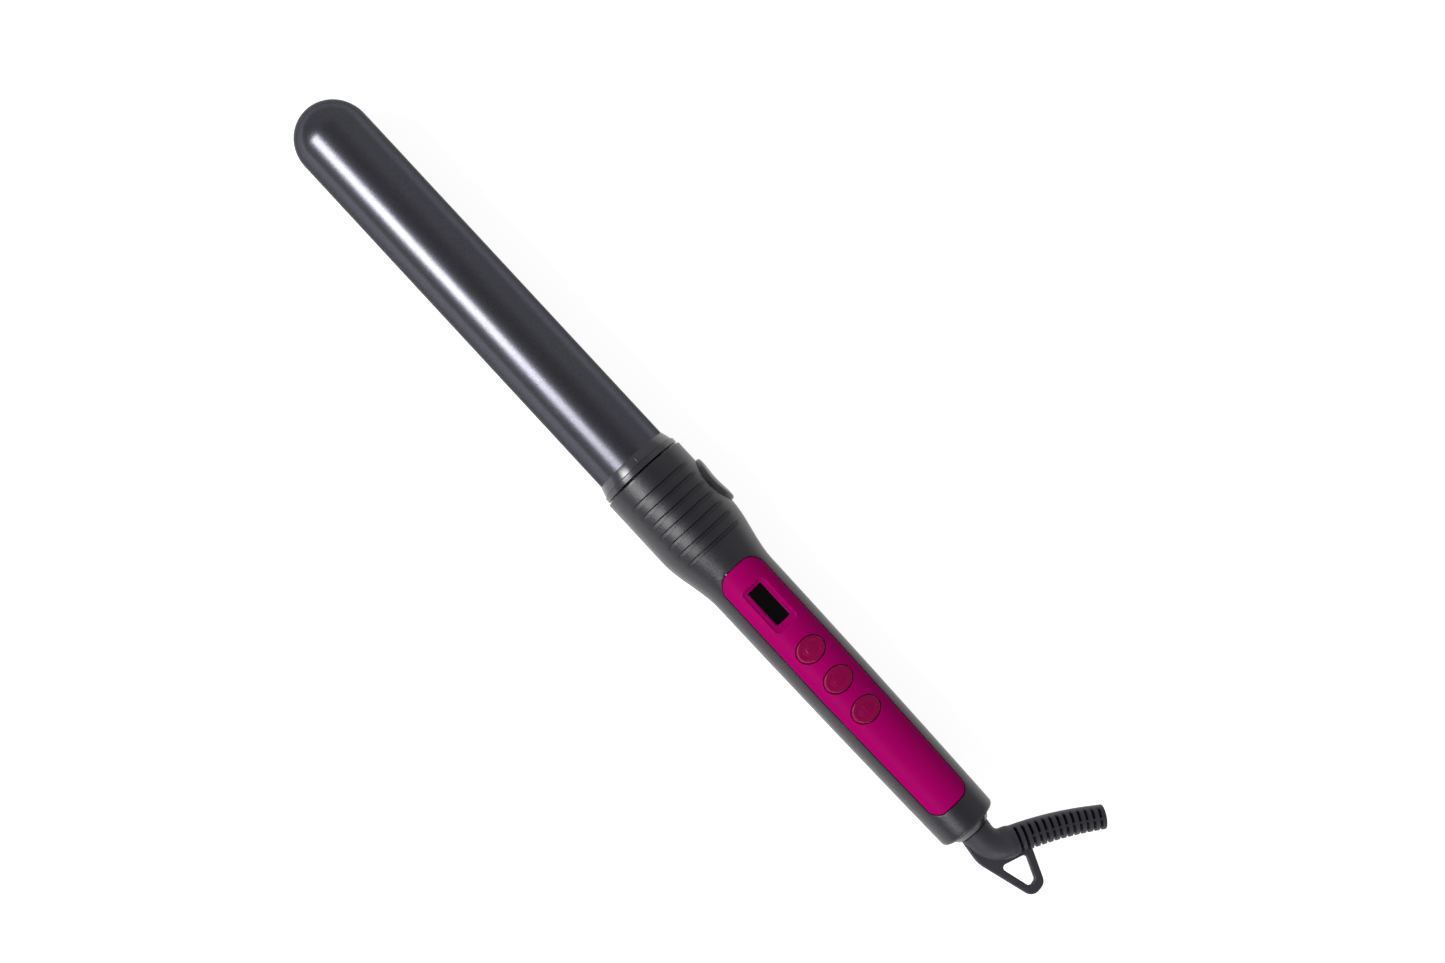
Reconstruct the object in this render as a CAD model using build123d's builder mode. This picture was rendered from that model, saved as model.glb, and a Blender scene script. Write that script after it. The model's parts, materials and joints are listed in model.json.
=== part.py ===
from build123d import *
import os
from math import radians

os.makedirs("parts", exist_ok=True)

# A curling wand with an interchangeable heated barrel. Millimetres.
# +X runs along the axis to the barrel's tip, +Z is the control panel's side, and the
# release button is on the -Y side. X = 0 is where the barrel leaves its collar.

# ---------------------------------------------------------------- driving dimensions
# Barrel head
BARREL_RADIUS = 16.0
BARREL_LENGTH = 191.0
TUBE_WALL = 1.2
TUBE_SKIRT_RADIUS = 15.8
TUBE_SKIRT_END = -3.8
COLLAR_FRONT_RADIUS = 16.3
COLLAR_CONE_RADIUS = 17.4
COLLAR_CONE_END = -4.1
COLLAR_RING_RADIUS = 18.0
COLLAR_END = -6.5
COLLAR_FLOOR = 1.2
TICK_LENGTH = 2.4
TICK_WIDTH = 0.8
TICK_HEIGHT = 0.3
TICK_SHIFT = 0.3
COLLAR_ROUND = 0.25
COLLAR_CHAMFER = 0.4
COLLAR_SCREW_CIRCLE = 13.3
COLLAR_SCREW_COUNT = 3
COLLAR_HEAD_RADIUS = 1.5
COLLAR_SCREW_RADIUS = 0.8
COLLAR_SCREW_TIP = 2.0

# Plug shank and its pins
SHANK_RADIUS = 11.0
SHANK_END = -33.0
SHANK_CAVITY_RADIUS = 8.6
SPIGOT_END = 5.0
SPIGOT_RADIUS = 14.75
FLANGE_RADIUS = 15.75
SHANK_LEAD_IN = 1.0
SHANK_END_WALL = 4.0
LATCH_X = -27.7
LATCH_GROOVE_WIDTH = 1.8
LATCH_GROOVE_DEPTH = 1.0
PIN_RADIUS = 1.2
PIN_CIRCLE = 5.0
PIN_TIP = -40.0
PIN_BASE = -29.0
PIN_COUNT = 4
PIN_CHAMFER = 0.5
SCREW_SLOT_WIDTH = 0.4
SCREW_SLOT_DEPTH = 0.5

# Heater
HEATER_FRONT = 150.0
HEATER_BACK = 30.0
HEATER_WIDTH = 16.0
STONE_COUNT = 4
STONE_GAP = 1.5
STONE_THICKNESS = 2.2
ELECTRODE_THICKNESS = 0.4
FILM_THICKNESS = 0.4
SPREADER_RADIUS = 14.7
SPREADER_WALL = 2.2
SPREADER_FRONT = 166.0
SPREADER_BACK = 12.0
TAB_WIDTH = 4.0
TAB_LENGTH = 8.0
SENSOR_Y = 11.5
SENSOR_BACK = 60.0
SENSOR_LENGTH = 12.0
SENSOR_RADIUS = 1.6
SENSOR_ROUND = 1.2
SENSOR_LEAD_Z = 0.8
FUSE_RADIUS = 1.9
FUSE_LENGTH = 11.0
FUSE_WIRE_RADIUS = 0.5
FUSE_WIRE_LENGTH = 30.0
MICA_BACK = 6.0
MICA_THICKNESS = 1.0
MICA_WINDOW = (20.0, 7.0)
LEAD_RADIUS = 0.55
SENSOR_LEAD_RADIUS = 0.45
LEAD_BEND = 6.0
LEAD_BEND_FRONT = 10.0
LEAD_BEND_BACK = 0.0
SENSOR_LEAD_BEND = 10.0
SENSOR_LEAD_FRONT = 14.0
SENSOR_LEAD_BACK = -10.0

# Handle outline
NECK_FRONT = -7.2
NECK_RADIUS = 18.55
NECK_END = -38.0
GRIP_START = -66.0
GRIP_START_RADIUS = 14.45
GRIP_BULGE = 0.28
GRIP_END = -194.2
GRIP_END_RADIUS = 12.75
GRIP_CORNER = 1.6
SHELL_WALL = 2.4
FRONT_WALL_END = -10.0
TAIL_WALL_START = -191.8

# Finger grooves over the neck
GROOVE_COUNT = 7
GROOVE_FIRST = -16.1
GROOVE_PITCH = 5.05
GROOVE_WIDTH = 1.6
GROOVE_FLAT = 2.15
GROOVE_OFFSET = 3.07

# Release button
RELEASE_RADIUS = 10.65
RELEASE_GAP = 0.2
RELEASE_TOP = 20.5
RELEASE_UNDERSIDE = 16.6
RELEASE_WALL = 1.45
HOOK_HALF_WIDTH = 2.4
HOOK_ARM = 1.0
HOOK_ARM_X = 9.75
HOOK_REACH = 12.0
HOOK_BOTTOM = 14.7
HOOK_TOP = 15.6
WEDGE_HALF_WIDTH = 1.2
WEDGE_TIP = 10.9
WEDGE_ROOT = 13.6
WEDGE_INNER = (9.0, 9.2)
WEDGE_OUTER = (9.6, 10.5)
HOOK_OVERLAP = 0.4

# Barrel socket in the neck
SOCKET_FRONT = -7.6
SOCKET_RADIUS = 12.7
SOCKET_BORE = 11.08
SOCKET_BORE_END = -34.5
SOCKET_END = -47.0
SLEEVE_RADIUS = 2.1
SLEEVE_BORE = 1.28
SLEEVE_BORE_END = -41.5
LATCH_WIRE = 0.55
LATCH_LEG = 10.6
SOCKET_RIB_FRONT = -44.0
SOCKET_RIB_LENGTH = 2.5
LATCH_SLOT_FLOOR = 9.9
SLEEVE_TAIL = -51.0
SLEEVE_TAIL_RADIUS = 0.9
COIL_RADIUS = 2.4
COIL_WIRE = 0.3
COIL_INNER = 13.2
COIL_OUTER = 18.5
COIL_TURNS = 4
LATCH_SLOT_WIDTH = 1.6
LATCH_TIP = 11.6
LATCH_SHOULDER = 9.2
LATCH_BACK = 14.4
LATCH_BACK_HALF = 4.2
LATCH_BEND = 4.0
SOCKET_LEAD_RADIUS = 0.8
SOCKET_LEAD_BEND = 1.6
SOCKET_LEAD_RUN = 5.0
SOCKET_PAD_Y = 6.4
PAD_INSET = 2.0
LEAD_DROP = 3.0

# Control panel
PANEL_FRONT = -58.2
PANEL_REAR = -182.8
PANEL_THICKNESS = 1.4
PANEL_HALF_WIDTH = 10.05
PANEL_TAPER_START = -120.5
PANEL_REAR_HALF_WIDTH = 8.9
PANEL_EDGE_SAG = 1.1
PANEL_FRONT_CORNER = 5.5
PANEL_REAR_CORNER = 4.0
PANEL_GAP = 0.25

# Display in the panel
WINDOW_X = -77.9
WINDOW_LENGTH = 16.75
WINDOW_WIDTH = 6.75
RECESS_X = -78.5
RECESS_LENGTH = 21.25
RECESS_WIDTH = 10.9
RECESS_FLOOR = 12.85
RECESS_SLOPE = 45.0
BEZEL_LENGTH = 25.1
BEZEL_WIDTH = 14.4
BEZEL_BOTTOM = 11.4
BEZEL_HEIGHT = 3.0
RECESS_FLOOR_INSET = (3.0, 2.0)
RECESS_CORNER = 1.6

# Buttons
BUTTON_NAMES = ("power", "minus", "plus")
BUTTON_FIRST = -101.5
BUTTON_PITCH = 15.65
BUTTON_ALONG = 4.9
BUTTON_ACROSS = 6.1
BUTTON_GAP = 0.2
BUTTON_PROUD = 0.3
BUTTON_FLANGE = 1.0
BUTTON_WALL = 1.2
BUTTON_HOLLOW = 2.4
BUTTON_OPENING = (12.8, 15.4)
BUTTON_OPENING_CORNER = 3.0
FLANGE_BOTTOM = 9.3
FLANGE_TOP = 9.95
PLUNGER_RADIUS = 1.7
PLUNGER_BOTTOM = 7.3
PLUNGER_TOP = 9.6

# Circuit board
BOARD_FRONT = -64.0
BOARD_REAR = -163.0
BOARD_WIDTH = 18.0
BOARD_TOP = 5.0
BOARD_BOTTOM = 3.8
SWITCH_TOP = 8.5
SWITCH_SIZE = 6.0
SWITCH_BORE_GAP = 0.08
SWITCH_BORE_BOTTOM = 6.6
BOARD_SCREW_X = (-93.2, -157.5)
BOARD_BOSS_RADIUS = 1.7
BOARD_SCREW_HOLE = 4.0
BOARD_SCREW_LENGTH = 4.8
BOARD_NOTCH_GAP = 0.4
MODULE_LENGTH = 22.0
MODULE_WIDTH = 9.6
MODULE_GAP = 0.2
CHIP_X = -104.0
CHIP_SIZE = 10.0
CHIP_HEIGHT = 1.6
TRIAC_X = -76.0
TRIAC_LENGTH = 9.2
TRIAC_WIDTH = 10.0
TRIAC_HEIGHT = 4.4
TRIAC_TAB_X = -79.0
TRIAC_TAB_LENGTH = 15.4
TRIAC_TAB_HEIGHT = 1.2
FILM_CAP_X = -121.5
FILM_CAP_LENGTH = 16.0
FILM_CAP_WIDTH = 10.0
FILM_CAP_CORNER = 0.8
FILM_CAP_HEIGHT = 10.5
ROUND_CAP_X = -134.6
ROUND_CAP_RADIUS = 4.0
ROUND_CAP_GAP = 0.2
ROUND_CAP_HALF = 6.0
BUZZER_X = -154.0
BUZZER_RADIUS = 5.0
BUZZER_HEIGHT = 5.0
BUZZER_GAP = 0.2

# Housing screws
HOUSING_SCREW_X = (-58.5, -144.0, -169.5)
BOSS_RADIUS = 2.6
BOSS_ROOT_DEPTH = 1.9
POST_RADIUS = 3.4
SCREW_RADIUS = 1.1
SCREW_HEAD_RADIUS = 2.0
SCREW_HEAD_HEIGHT = 1.6
SCREW_SINK = 3.2
SCREW_TIP = 6.0
SCREW_RECESS = (2.6, 0.6)
SCREW_RECESS_DEPTH = 0.9
SCREW_MOUTH_GAP = 0.3

# Swivel
BUSH_FRONT_RADIUS = 9.8
BUSH_END_RADIUS = 7.6
BUSH_END = -197.0
BUSH_BODY_RADIUS = 8.0
BUSH_FLANGE_RADIUS = 9.6
BUSH_FLANGE_FRONT = -190.3
BUSH_SLEEVE_RADIUS = 7.4
BUSH_SLEEVE_FRONT = -184.6
BUSH_BORE = 5.58
STEM_RADIUS = 5.5
STEM_SPIGOT_RADIUS = 4.6
STEM_SPIGOT_START = -183.0
STEM_FRONT = -175.5
STEM_END = -200.4
CLIP_FRONT = -183.3
CLIP_BACK = -184.3
CLIP_RADIUS = 7.0
CLIP_GROOVE_RADIUS = 4.9
RING_RADIUS = 5.2
RING_WIDTH = 2.0
RING_X = (-181.5, -177.8)
BRUSH_GAP = 0.08
BRUSH_LENGTH = 1.6
BRUSH_WIDTH = 3.0
BLOCK_RIB = 1.2
STEM_END_WALL = 2.0
CLIP_MOUTH = 6.0
MAINS_LEAD_RADIUS = 0.75
MAINS_LEAD_BEND = 1.4
MAINS_LEAD_RUN = 3.0
MAINS_STEM_Y = 3.7
MAINS_PAD_Y = 6.6
MAINS_PAD_INSET = 3.0
BLOCK_BOTTOM = -8.6
BLOCK_TOP = -7.0
BLOCK_HALF = 4.5

# Cord boot
BOOT_START = -197.3
BOOT_NECK_RADIUS = 6.7
BOOT_RADIUS = 6.3
BOOT_NECK_LENGTH = 4.3
ELBOW_RADIUS = 8.5
ELBOW_ANGLE = 67.5
ELBOW_RUN = 4.4
RELIEF_BEND = 12.0
RELIEF_ARC_LENGTH = 30.7
RELIEF_STRAIGHT = 6.0
RELIEF_START_RADIUS = 5.8
RELIEF_END_RADIUS = 4.85
RELIEF_LINER_RADIUS = 3.95
RELIEF_STATIONS = (0, 0.35, 0.7, 1)
CORD_BORE = 3.35
SLOT_COUNT = 13
SLOT_PITCH = 2.79
SLOT_WIDTH = 1.35
SLOT_FIRST = 0.32
SPINE_WIDTH = 5.4
WEB_WIDTH = 1.4
WEB_ANGLES = (92, 268)
UNWEBBED_SLOTS = 2
LOOP_THICKNESS = 3.0
LOOP_EDGE = 0.7
LOOP_CORNER = 4.2
EYE_CORNER = 1.4

BUTTON_X = [BUTTON_FIRST - BUTTON_PITCH * index for index in range(len(BUTTON_NAMES))]


# ------------------------------------------------------------------ shared geometry
def outer_radius(x):
    """Outer radius of the handle: level neck, S-shaped shoulder, then the bulging grip."""
    if x > NECK_END:
        return NECK_RADIUS
    if x > GRIP_START:
        share = (NECK_END - x) / (NECK_END - GRIP_START)
        return NECK_RADIUS - (NECK_RADIUS - GRIP_START_RADIUS) * (3 * share**2 - 2 * share**3)
    share = (GRIP_START - x) / (GRIP_START - GRIP_END)
    chord = GRIP_START_RADIUS + (GRIP_END_RADIUS - GRIP_START_RADIUS) * share
    return chord + 4 * GRIP_BULGE * share * (1 - share)


def handle_body(depth, front):
    """The handle's revolved solid, its outline pushed in by depth."""
    neck = NECK_RADIUS - depth
    grip = GRIP_START_RADIUS - depth
    tail = GRIP_END_RADIUS - depth
    handle_run = (NECK_END - GRIP_START) / 3
    grip_middle = (GRIP_START + GRIP_END) / 2
    with BuildPart() as body:
        with BuildSketch(Plane.XZ):
            with BuildLine():
                Polyline((GRIP_END, tail), (GRIP_END, 0), (front, 0), (front, neck), (NECK_END, neck))
                Bezier(
                    (NECK_END, neck),
                    (NECK_END - handle_run, neck),
                    (GRIP_START + handle_run, grip),
                    (GRIP_START, grip),
                )
                Bezier(
                    (GRIP_START, grip),
                    (grip_middle, (grip + tail) / 2 + 2 * GRIP_BULGE),
                    (GRIP_END, tail),
                )
            make_face()
        revolve(axis=Axis.X)
    return body


def panel_outline(gap):
    """The control panel's outline seen from above, grown all round by gap."""
    front = PANEL_FRONT + gap
    rear = PANEL_REAR - gap
    front_side = front - PANEL_EDGE_SAG
    rear_side = rear + PANEL_EDGE_SAG
    half = PANEL_HALF_WIDTH + gap
    rear_half = PANEL_REAR_HALF_WIDTH + gap
    with BuildSketch() as outline:
        with BuildLine():
            ThreePointArc((front_side, half), (front, 0), (front_side, -half))
            Polyline((front_side, -half), (PANEL_TAPER_START, -half), (rear_side, -rear_half))
            ThreePointArc((rear_side, -rear_half), (rear, 0), (rear_side, rear_half))
            Polyline((rear_side, rear_half), (PANEL_TAPER_START, half), (front_side, half))
        make_face()
        front_corners = outline.vertices().group_by(Axis.X)[-1]
        fillet(front_corners, radius=PANEL_FRONT_CORNER)
        rear_corners = outline.vertices().group_by(Axis.X)[0]
        fillet(rear_corners, radius=PANEL_REAR_CORNER)
    return outline.sketch


def wires(routes, wire_radius, bend_radius):
    """Round wires, each along straight runs joined by arcs."""
    with BuildPart() as bundle:
        for points in routes:
            with BuildLine() as route:
                FilletPolyline(*points, radius=bend_radius)
            with BuildSketch(Plane(origin=route.line @ 0, z_dir=route.line % 0)):
                Circle(wire_radius)
            sweep(path=route.line)
    return bundle


def turned(profile_points):
    """A solid turned about the X axis from (x, radius) corner points, closed on the axis."""
    first = profile_points[0]
    last = profile_points[-1]
    with BuildPart() as solid:
        with BuildSketch(Plane.XZ):
            with BuildLine():
                Polyline((first[0], 0), *profile_points, (last[0], 0), close=True)
            make_face()
        revolve(axis=Axis.X)
    return solid.part


# ------------------------------------------------------------------ barrel head
tube_dome_centre = BARREL_LENGTH - BARREL_RADIUS
tube_inner = BARREL_RADIUS - TUBE_WALL

# Coated aluminium tube with a domed tip, stepped down where the collar holds it.
with BuildPart() as barrel_tube:
    with BuildSketch(Plane.XZ):
        with BuildLine():
            Line((TUBE_SKIRT_END, tube_inner), (TUBE_SKIRT_END, TUBE_SKIRT_RADIUS))
            Line((TUBE_SKIRT_END, TUBE_SKIRT_RADIUS), (0, TUBE_SKIRT_RADIUS))
            Line((0, TUBE_SKIRT_RADIUS), (0, BARREL_RADIUS))
            Line((0, BARREL_RADIUS), (tube_dome_centre, BARREL_RADIUS))
            JernArc((tube_dome_centre, BARREL_RADIUS), (1, 0), BARREL_RADIUS, -90)
            Line((BARREL_LENGTH, 0), (BARREL_LENGTH - TUBE_WALL, 0))
            JernArc((tube_dome_centre, tube_inner), (1, 0), tube_inner, -90)
            Line((tube_dome_centre, tube_inner), (TUBE_SKIRT_END, tube_inner))
        make_face()
    revolve(axis=Axis.X)
barrel_tube.part.label = "barrel_tube"
export_step(barrel_tube.part, "parts/barrel_tube.step")

# Collar: a heat-resistant plastic ring that hides the tube's root, with an index tick.
flange_end = COLLAR_END + COLLAR_FLOOR
tick_middle = COLLAR_CONE_END / 2 - TICK_SHIFT
with BuildPart() as barrel_collar:
    with BuildSketch(Plane.XZ):
        with BuildLine():
            Polyline(
                (0, TUBE_SKIRT_RADIUS),
                (0, COLLAR_FRONT_RADIUS),
                (COLLAR_CONE_END, COLLAR_CONE_RADIUS),
                (COLLAR_CONE_END, COLLAR_RING_RADIUS - COLLAR_ROUND),
                (COLLAR_CONE_END - COLLAR_ROUND, COLLAR_RING_RADIUS),
                (COLLAR_END + COLLAR_CHAMFER, COLLAR_RING_RADIUS),
                (COLLAR_END, COLLAR_RING_RADIUS - COLLAR_CHAMFER),
                (COLLAR_END, SHANK_RADIUS),
                (flange_end, SHANK_RADIUS),
                (flange_end, TUBE_SKIRT_RADIUS),
                close=True,
            )
        make_face()
    revolve(axis=Axis.X)
    with BuildSketch(Plane.XY.offset(COLLAR_FRONT_RADIUS)):
        with Locations((tick_middle, 0)):
            Rectangle(TICK_LENGTH, TICK_WIDTH)
    extrude(amount=COLLAR_CONE_RADIUS - COLLAR_FRONT_RADIUS + TICK_HEIGHT / 2)
    with BuildSketch(Plane.YZ.offset(COLLAR_END)):
        with PolarLocations(COLLAR_SCREW_CIRCLE, COLLAR_SCREW_COUNT):
            Circle(COLLAR_HEAD_RADIUS)
    extrude(amount=COLLAR_FLOOR, mode=Mode.SUBTRACT)
barrel_collar.part.label = "barrel_collar"
export_step(barrel_collar.part, "parts/barrel_collar.step")

# Plug carrier: spigot in the tube, flange under the collar, shank that enters the handle.
groove_front = LATCH_X + LATCH_GROOVE_WIDTH / 2
groove_back = LATCH_X - LATCH_GROOVE_WIDTH / 2
groove_floor = SHANK_RADIUS - LATCH_GROOVE_DEPTH
with BuildPart() as plug_carrier:
    with BuildSketch(Plane.XZ):
        with BuildLine():
            Polyline(
                (SPIGOT_END, SHANK_CAVITY_RADIUS),
                (SPIGOT_END, SPIGOT_RADIUS),
                (TUBE_SKIRT_END, SPIGOT_RADIUS),
                (TUBE_SKIRT_END, FLANGE_RADIUS),
                (flange_end, FLANGE_RADIUS),
                (flange_end, SHANK_RADIUS),
                (groove_front, SHANK_RADIUS),
                (groove_front, groove_floor),
                (groove_back, groove_floor),
                (groove_back, SHANK_RADIUS),
                (SHANK_END + SHANK_LEAD_IN, SHANK_RADIUS),
                (SHANK_END, SHANK_RADIUS - SHANK_LEAD_IN),
                (SHANK_END, 0),
                (SHANK_END + SHANK_END_WALL, 0),
                (SHANK_END + SHANK_END_WALL, SHANK_CAVITY_RADIUS),
                close=True,
            )
        make_face()
    revolve(axis=Axis.X)
    with BuildSketch(Plane.YZ.offset(SHANK_END)):
        with PolarLocations(PIN_CIRCLE, PIN_COUNT):
            Circle(PIN_RADIUS)
    extrude(amount=SHANK_END_WALL, mode=Mode.SUBTRACT)
    with BuildSketch(Plane.YZ.offset(flange_end)):
        with PolarLocations(COLLAR_SCREW_CIRCLE, COLLAR_SCREW_COUNT):
            Circle(COLLAR_SCREW_RADIUS)
    extrude(amount=COLLAR_SCREW_TIP - flange_end, mode=Mode.SUBTRACT)
plug_carrier.part.label = "plug_carrier"
export_step(plug_carrier.part, "parts/plug_carrier.step")

# Two power pins and two sensor pins.
with BuildPart() as contact_pins:
    with BuildSketch(Plane.YZ.offset(PIN_TIP)):
        with PolarLocations(PIN_CIRCLE, PIN_COUNT):
            Circle(PIN_RADIUS)
    extrude(amount=PIN_BASE - PIN_TIP)
    chamfer(contact_pins.edges().group_by(Axis.X)[0], length=PIN_CHAMFER)
contact_pins.part.label = "contact_pins"
export_step(contact_pins.part, "parts/contact_pins.step")

# Three screws with flush cylindrical heads hold the collar to the plug carrier.
with BuildPart() as collar_screws:
    with BuildSketch(Plane.YZ.offset(COLLAR_END)):
        with PolarLocations(COLLAR_SCREW_CIRCLE, COLLAR_SCREW_COUNT):
            Circle(COLLAR_HEAD_RADIUS)
    extrude(amount=COLLAR_FLOOR)
    with BuildSketch(Plane.YZ.offset(flange_end)):
        with PolarLocations(COLLAR_SCREW_CIRCLE, COLLAR_SCREW_COUNT):
            Circle(COLLAR_SCREW_RADIUS)
    extrude(amount=COLLAR_SCREW_TIP - flange_end)
    with BuildSketch(Plane.YZ.offset(COLLAR_END)):
        with PolarLocations(COLLAR_SCREW_CIRCLE, COLLAR_SCREW_COUNT):
            Rectangle(SCREW_SLOT_WIDTH, 2 * COLLAR_HEAD_RADIUS)
    extrude(amount=SCREW_SLOT_DEPTH, mode=Mode.SUBTRACT)
collar_screws.part.label = "collar_screws"
export_step(collar_screws.part, "parts/collar_screws.step")

# Two hollow aluminium extrusions carry the heat from the heater to the tube.
electrode_outer = STONE_THICKNESS / 2 + ELECTRODE_THICKNESS
film_outer = electrode_outer + FILM_THICKNESS
with BuildPart() as upper_heat_spreader:
    with BuildSketch(Plane.YZ.offset(SPREADER_BACK)):
        Circle(SPREADER_RADIUS)
        with Locations((0, film_outer - SPREADER_RADIUS)):
            Rectangle(2 * SPREADER_RADIUS, 2 * SPREADER_RADIUS, mode=Mode.SUBTRACT)
        offset(amount=-SPREADER_WALL, mode=Mode.SUBTRACT)
    extrude(amount=SPREADER_FRONT - SPREADER_BACK)
upper_heat_spreader.part.label = "upper_heat_spreader"
export_step(upper_heat_spreader.part, "parts/upper_heat_spreader.step")

with BuildPart() as lower_heat_spreader:
    mirror(upper_heat_spreader.part, about=Plane.XY)
lower_heat_spreader.part.label = "lower_heat_spreader"
export_step(lower_heat_spreader.part, "parts/lower_heat_spreader.step")

# Ceramic heater stones in a row between two electrode strips, wrapped in film.
heater_length = HEATER_FRONT - HEATER_BACK
heater_middle = (HEATER_FRONT + HEATER_BACK) / 2
stone_pitch = heater_length / STONE_COUNT
with BuildPart() as ptc_stones:
    with BuildSketch(Plane.XY):
        with Locations((heater_middle, 0)):
            with GridLocations(stone_pitch, 0, STONE_COUNT, 1):
                Rectangle(stone_pitch - STONE_GAP, HEATER_WIDTH)
    extrude(amount=STONE_THICKNESS / 2, both=True)
ptc_stones.part.label = "ptc_stones"
export_step(ptc_stones.part, "parts/ptc_stones.step")

with BuildPart() as heater_electrodes:
    for side in (1, -1):
        plate_plane = Plane.XY.offset(side * STONE_THICKNESS / 2)
        with BuildSketch(plate_plane):
            with Locations((heater_middle, 0)):
                Rectangle(heater_length, HEATER_WIDTH)
            with Locations((HEATER_BACK - TAB_LENGTH / 2, side * PIN_CIRCLE)):
                Rectangle(TAB_LENGTH, TAB_WIDTH)
        extrude(amount=side * ELECTRODE_THICKNESS)
heater_electrodes.part.label = "heater_electrodes"
export_step(heater_electrodes.part, "parts/heater_electrodes.step")

with BuildPart() as heater_film:
    with BuildSketch(Plane.YZ.offset(HEATER_BACK)):
        Rectangle(HEATER_WIDTH + 2 * FILM_THICKNESS, 2 * film_outer)
        Rectangle(HEATER_WIDTH, 2 * electrode_outer, mode=Mode.SUBTRACT)
    extrude(amount=heater_length)
heater_film.part.label = "heater_film"
export_step(heater_film.part, "parts/heater_film.step")

# Temperature sensor and thermal fuse lie beside the heater, between the spreaders.
with BuildPart() as temperature_sensor:
    with BuildSketch(Plane.YZ.offset(SENSOR_BACK)):
        with Locations((SENSOR_Y, 0)):
            Circle(SENSOR_RADIUS)
    extrude(amount=SENSOR_LENGTH)
    fillet(temperature_sensor.edges().group_by(Axis.X)[-1], radius=SENSOR_ROUND)
temperature_sensor.part.label = "temperature_sensor"
export_step(temperature_sensor.part, "parts/temperature_sensor.step")

with BuildPart() as thermal_fuse:
    with BuildSketch(Plane.YZ.offset(heater_middle)):
        with Locations((-SENSOR_Y, 0)):
            Circle(FUSE_RADIUS)
    extrude(amount=FUSE_LENGTH / 2, both=True)
    with BuildSketch(Plane.YZ.offset(heater_middle)):
        with Locations((-SENSOR_Y, 0)):
            Circle(FUSE_WIRE_RADIUS)
    extrude(amount=FUSE_WIRE_LENGTH / 2, both=True)
thermal_fuse.part.label = "thermal_fuse"
export_step(thermal_fuse.part, "parts/thermal_fuse.step")

# Mica disc between the hot spreaders and the plastic plug.
with BuildPart() as mica_disc:
    with BuildSketch(Plane.YZ.offset(MICA_BACK)):
        Circle(SPREADER_RADIUS)
        Rectangle(*MICA_WINDOW, mode=Mode.SUBTRACT)
    extrude(amount=MICA_THICKNESS)
mica_disc.part.label = "mica_disc"
export_step(mica_disc.part, "parts/mica_disc.step")

# Leads from the electrodes and the sensor back to the pins.
tab_end = HEATER_BACK - TAB_LENGTH
electrode_z = STONE_THICKNESS / 2 + ELECTRODE_THICKNESS / 2
heater_leads = wires(
    [
        [
            (tab_end, side * PIN_CIRCLE, side * electrode_z),
            (LEAD_BEND_FRONT, side * PIN_CIRCLE, side * electrode_z),
            (LEAD_BEND_BACK, side * PIN_CIRCLE, 0),
            (PIN_BASE, side * PIN_CIRCLE, 0),
        ]
        for side in (1, -1)
    ],
    LEAD_RADIUS,
    LEAD_BEND,
)
heater_leads.part.label = "heater_leads"
export_step(heater_leads.part, "parts/heater_leads.step")

sensor_leads = wires(
    [
        [
            (SENSOR_BACK, SENSOR_Y, side * SENSOR_LEAD_Z),
            (SENSOR_LEAD_FRONT, SENSOR_Y, side * SENSOR_LEAD_Z),
            (SENSOR_LEAD_BACK, 0, side * PIN_CIRCLE),
            (PIN_BASE, 0, side * PIN_CIRCLE),
        ]
        for side in (1, -1)
    ],
    SENSOR_LEAD_RADIUS,
    SENSOR_LEAD_BEND,
)
sensor_leads.part.label = "sensor_leads"
export_step(sensor_leads.part, "parts/sensor_leads.step")

# ------------------------------------------------------------------ handle shells
with handle_body(0, NECK_FRONT) as handle_outside:
    fillet(handle_outside.edges().filter_by(GeomType.CIRCLE).sort_by(Axis.X)[0], radius=GRIP_CORNER)

with handle_body(SHELL_WALL, FRONT_WALL_END) as handle_inside:
    split(bisect_by=Plane.YZ.offset(TAIL_WALL_START), keep=Keep.TOP)

handle_under_panel = handle_body(PANEL_THICKNESS, NECK_FRONT)

# The hollow case shared by both halves: walls, socket rib, openings at both ends.
with BuildPart() as case:
    add(handle_outside.part)
    add(handle_inside.part, mode=Mode.SUBTRACT)
    with BuildSketch(Plane.YZ.offset(SOCKET_RIB_FRONT - SOCKET_RIB_LENGTH)):
        Circle(NECK_RADIUS - SHELL_WALL)
    extrude(amount=SOCKET_RIB_LENGTH)
    with BuildSketch(Plane.YZ.offset(NECK_FRONT)):
        Circle(SOCKET_RADIUS)
    extrude(amount=SOCKET_END - NECK_FRONT, mode=Mode.SUBTRACT)
    with BuildSketch(Plane.YZ.offset(GRIP_END)):
        Circle(BUSH_BODY_RADIUS)
    extrude(amount=TAIL_WALL_START - GRIP_END, mode=Mode.SUBTRACT)
    with BuildSketch(Plane.XZ):
        with Locations((LATCH_X, 0)):
            Circle(RELEASE_RADIUS + RELEASE_GAP)
    extrude(amount=2 * NECK_RADIUS, mode=Mode.SUBTRACT)

# The pocket that the panel lies in, as the space above its floor.
with BuildPart() as panel_pocket:
    add(panel_outline(PANEL_GAP))
    extrude(amount=2 * NECK_RADIUS)
    add(handle_under_panel.part, mode=Mode.SUBTRACT)

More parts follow.
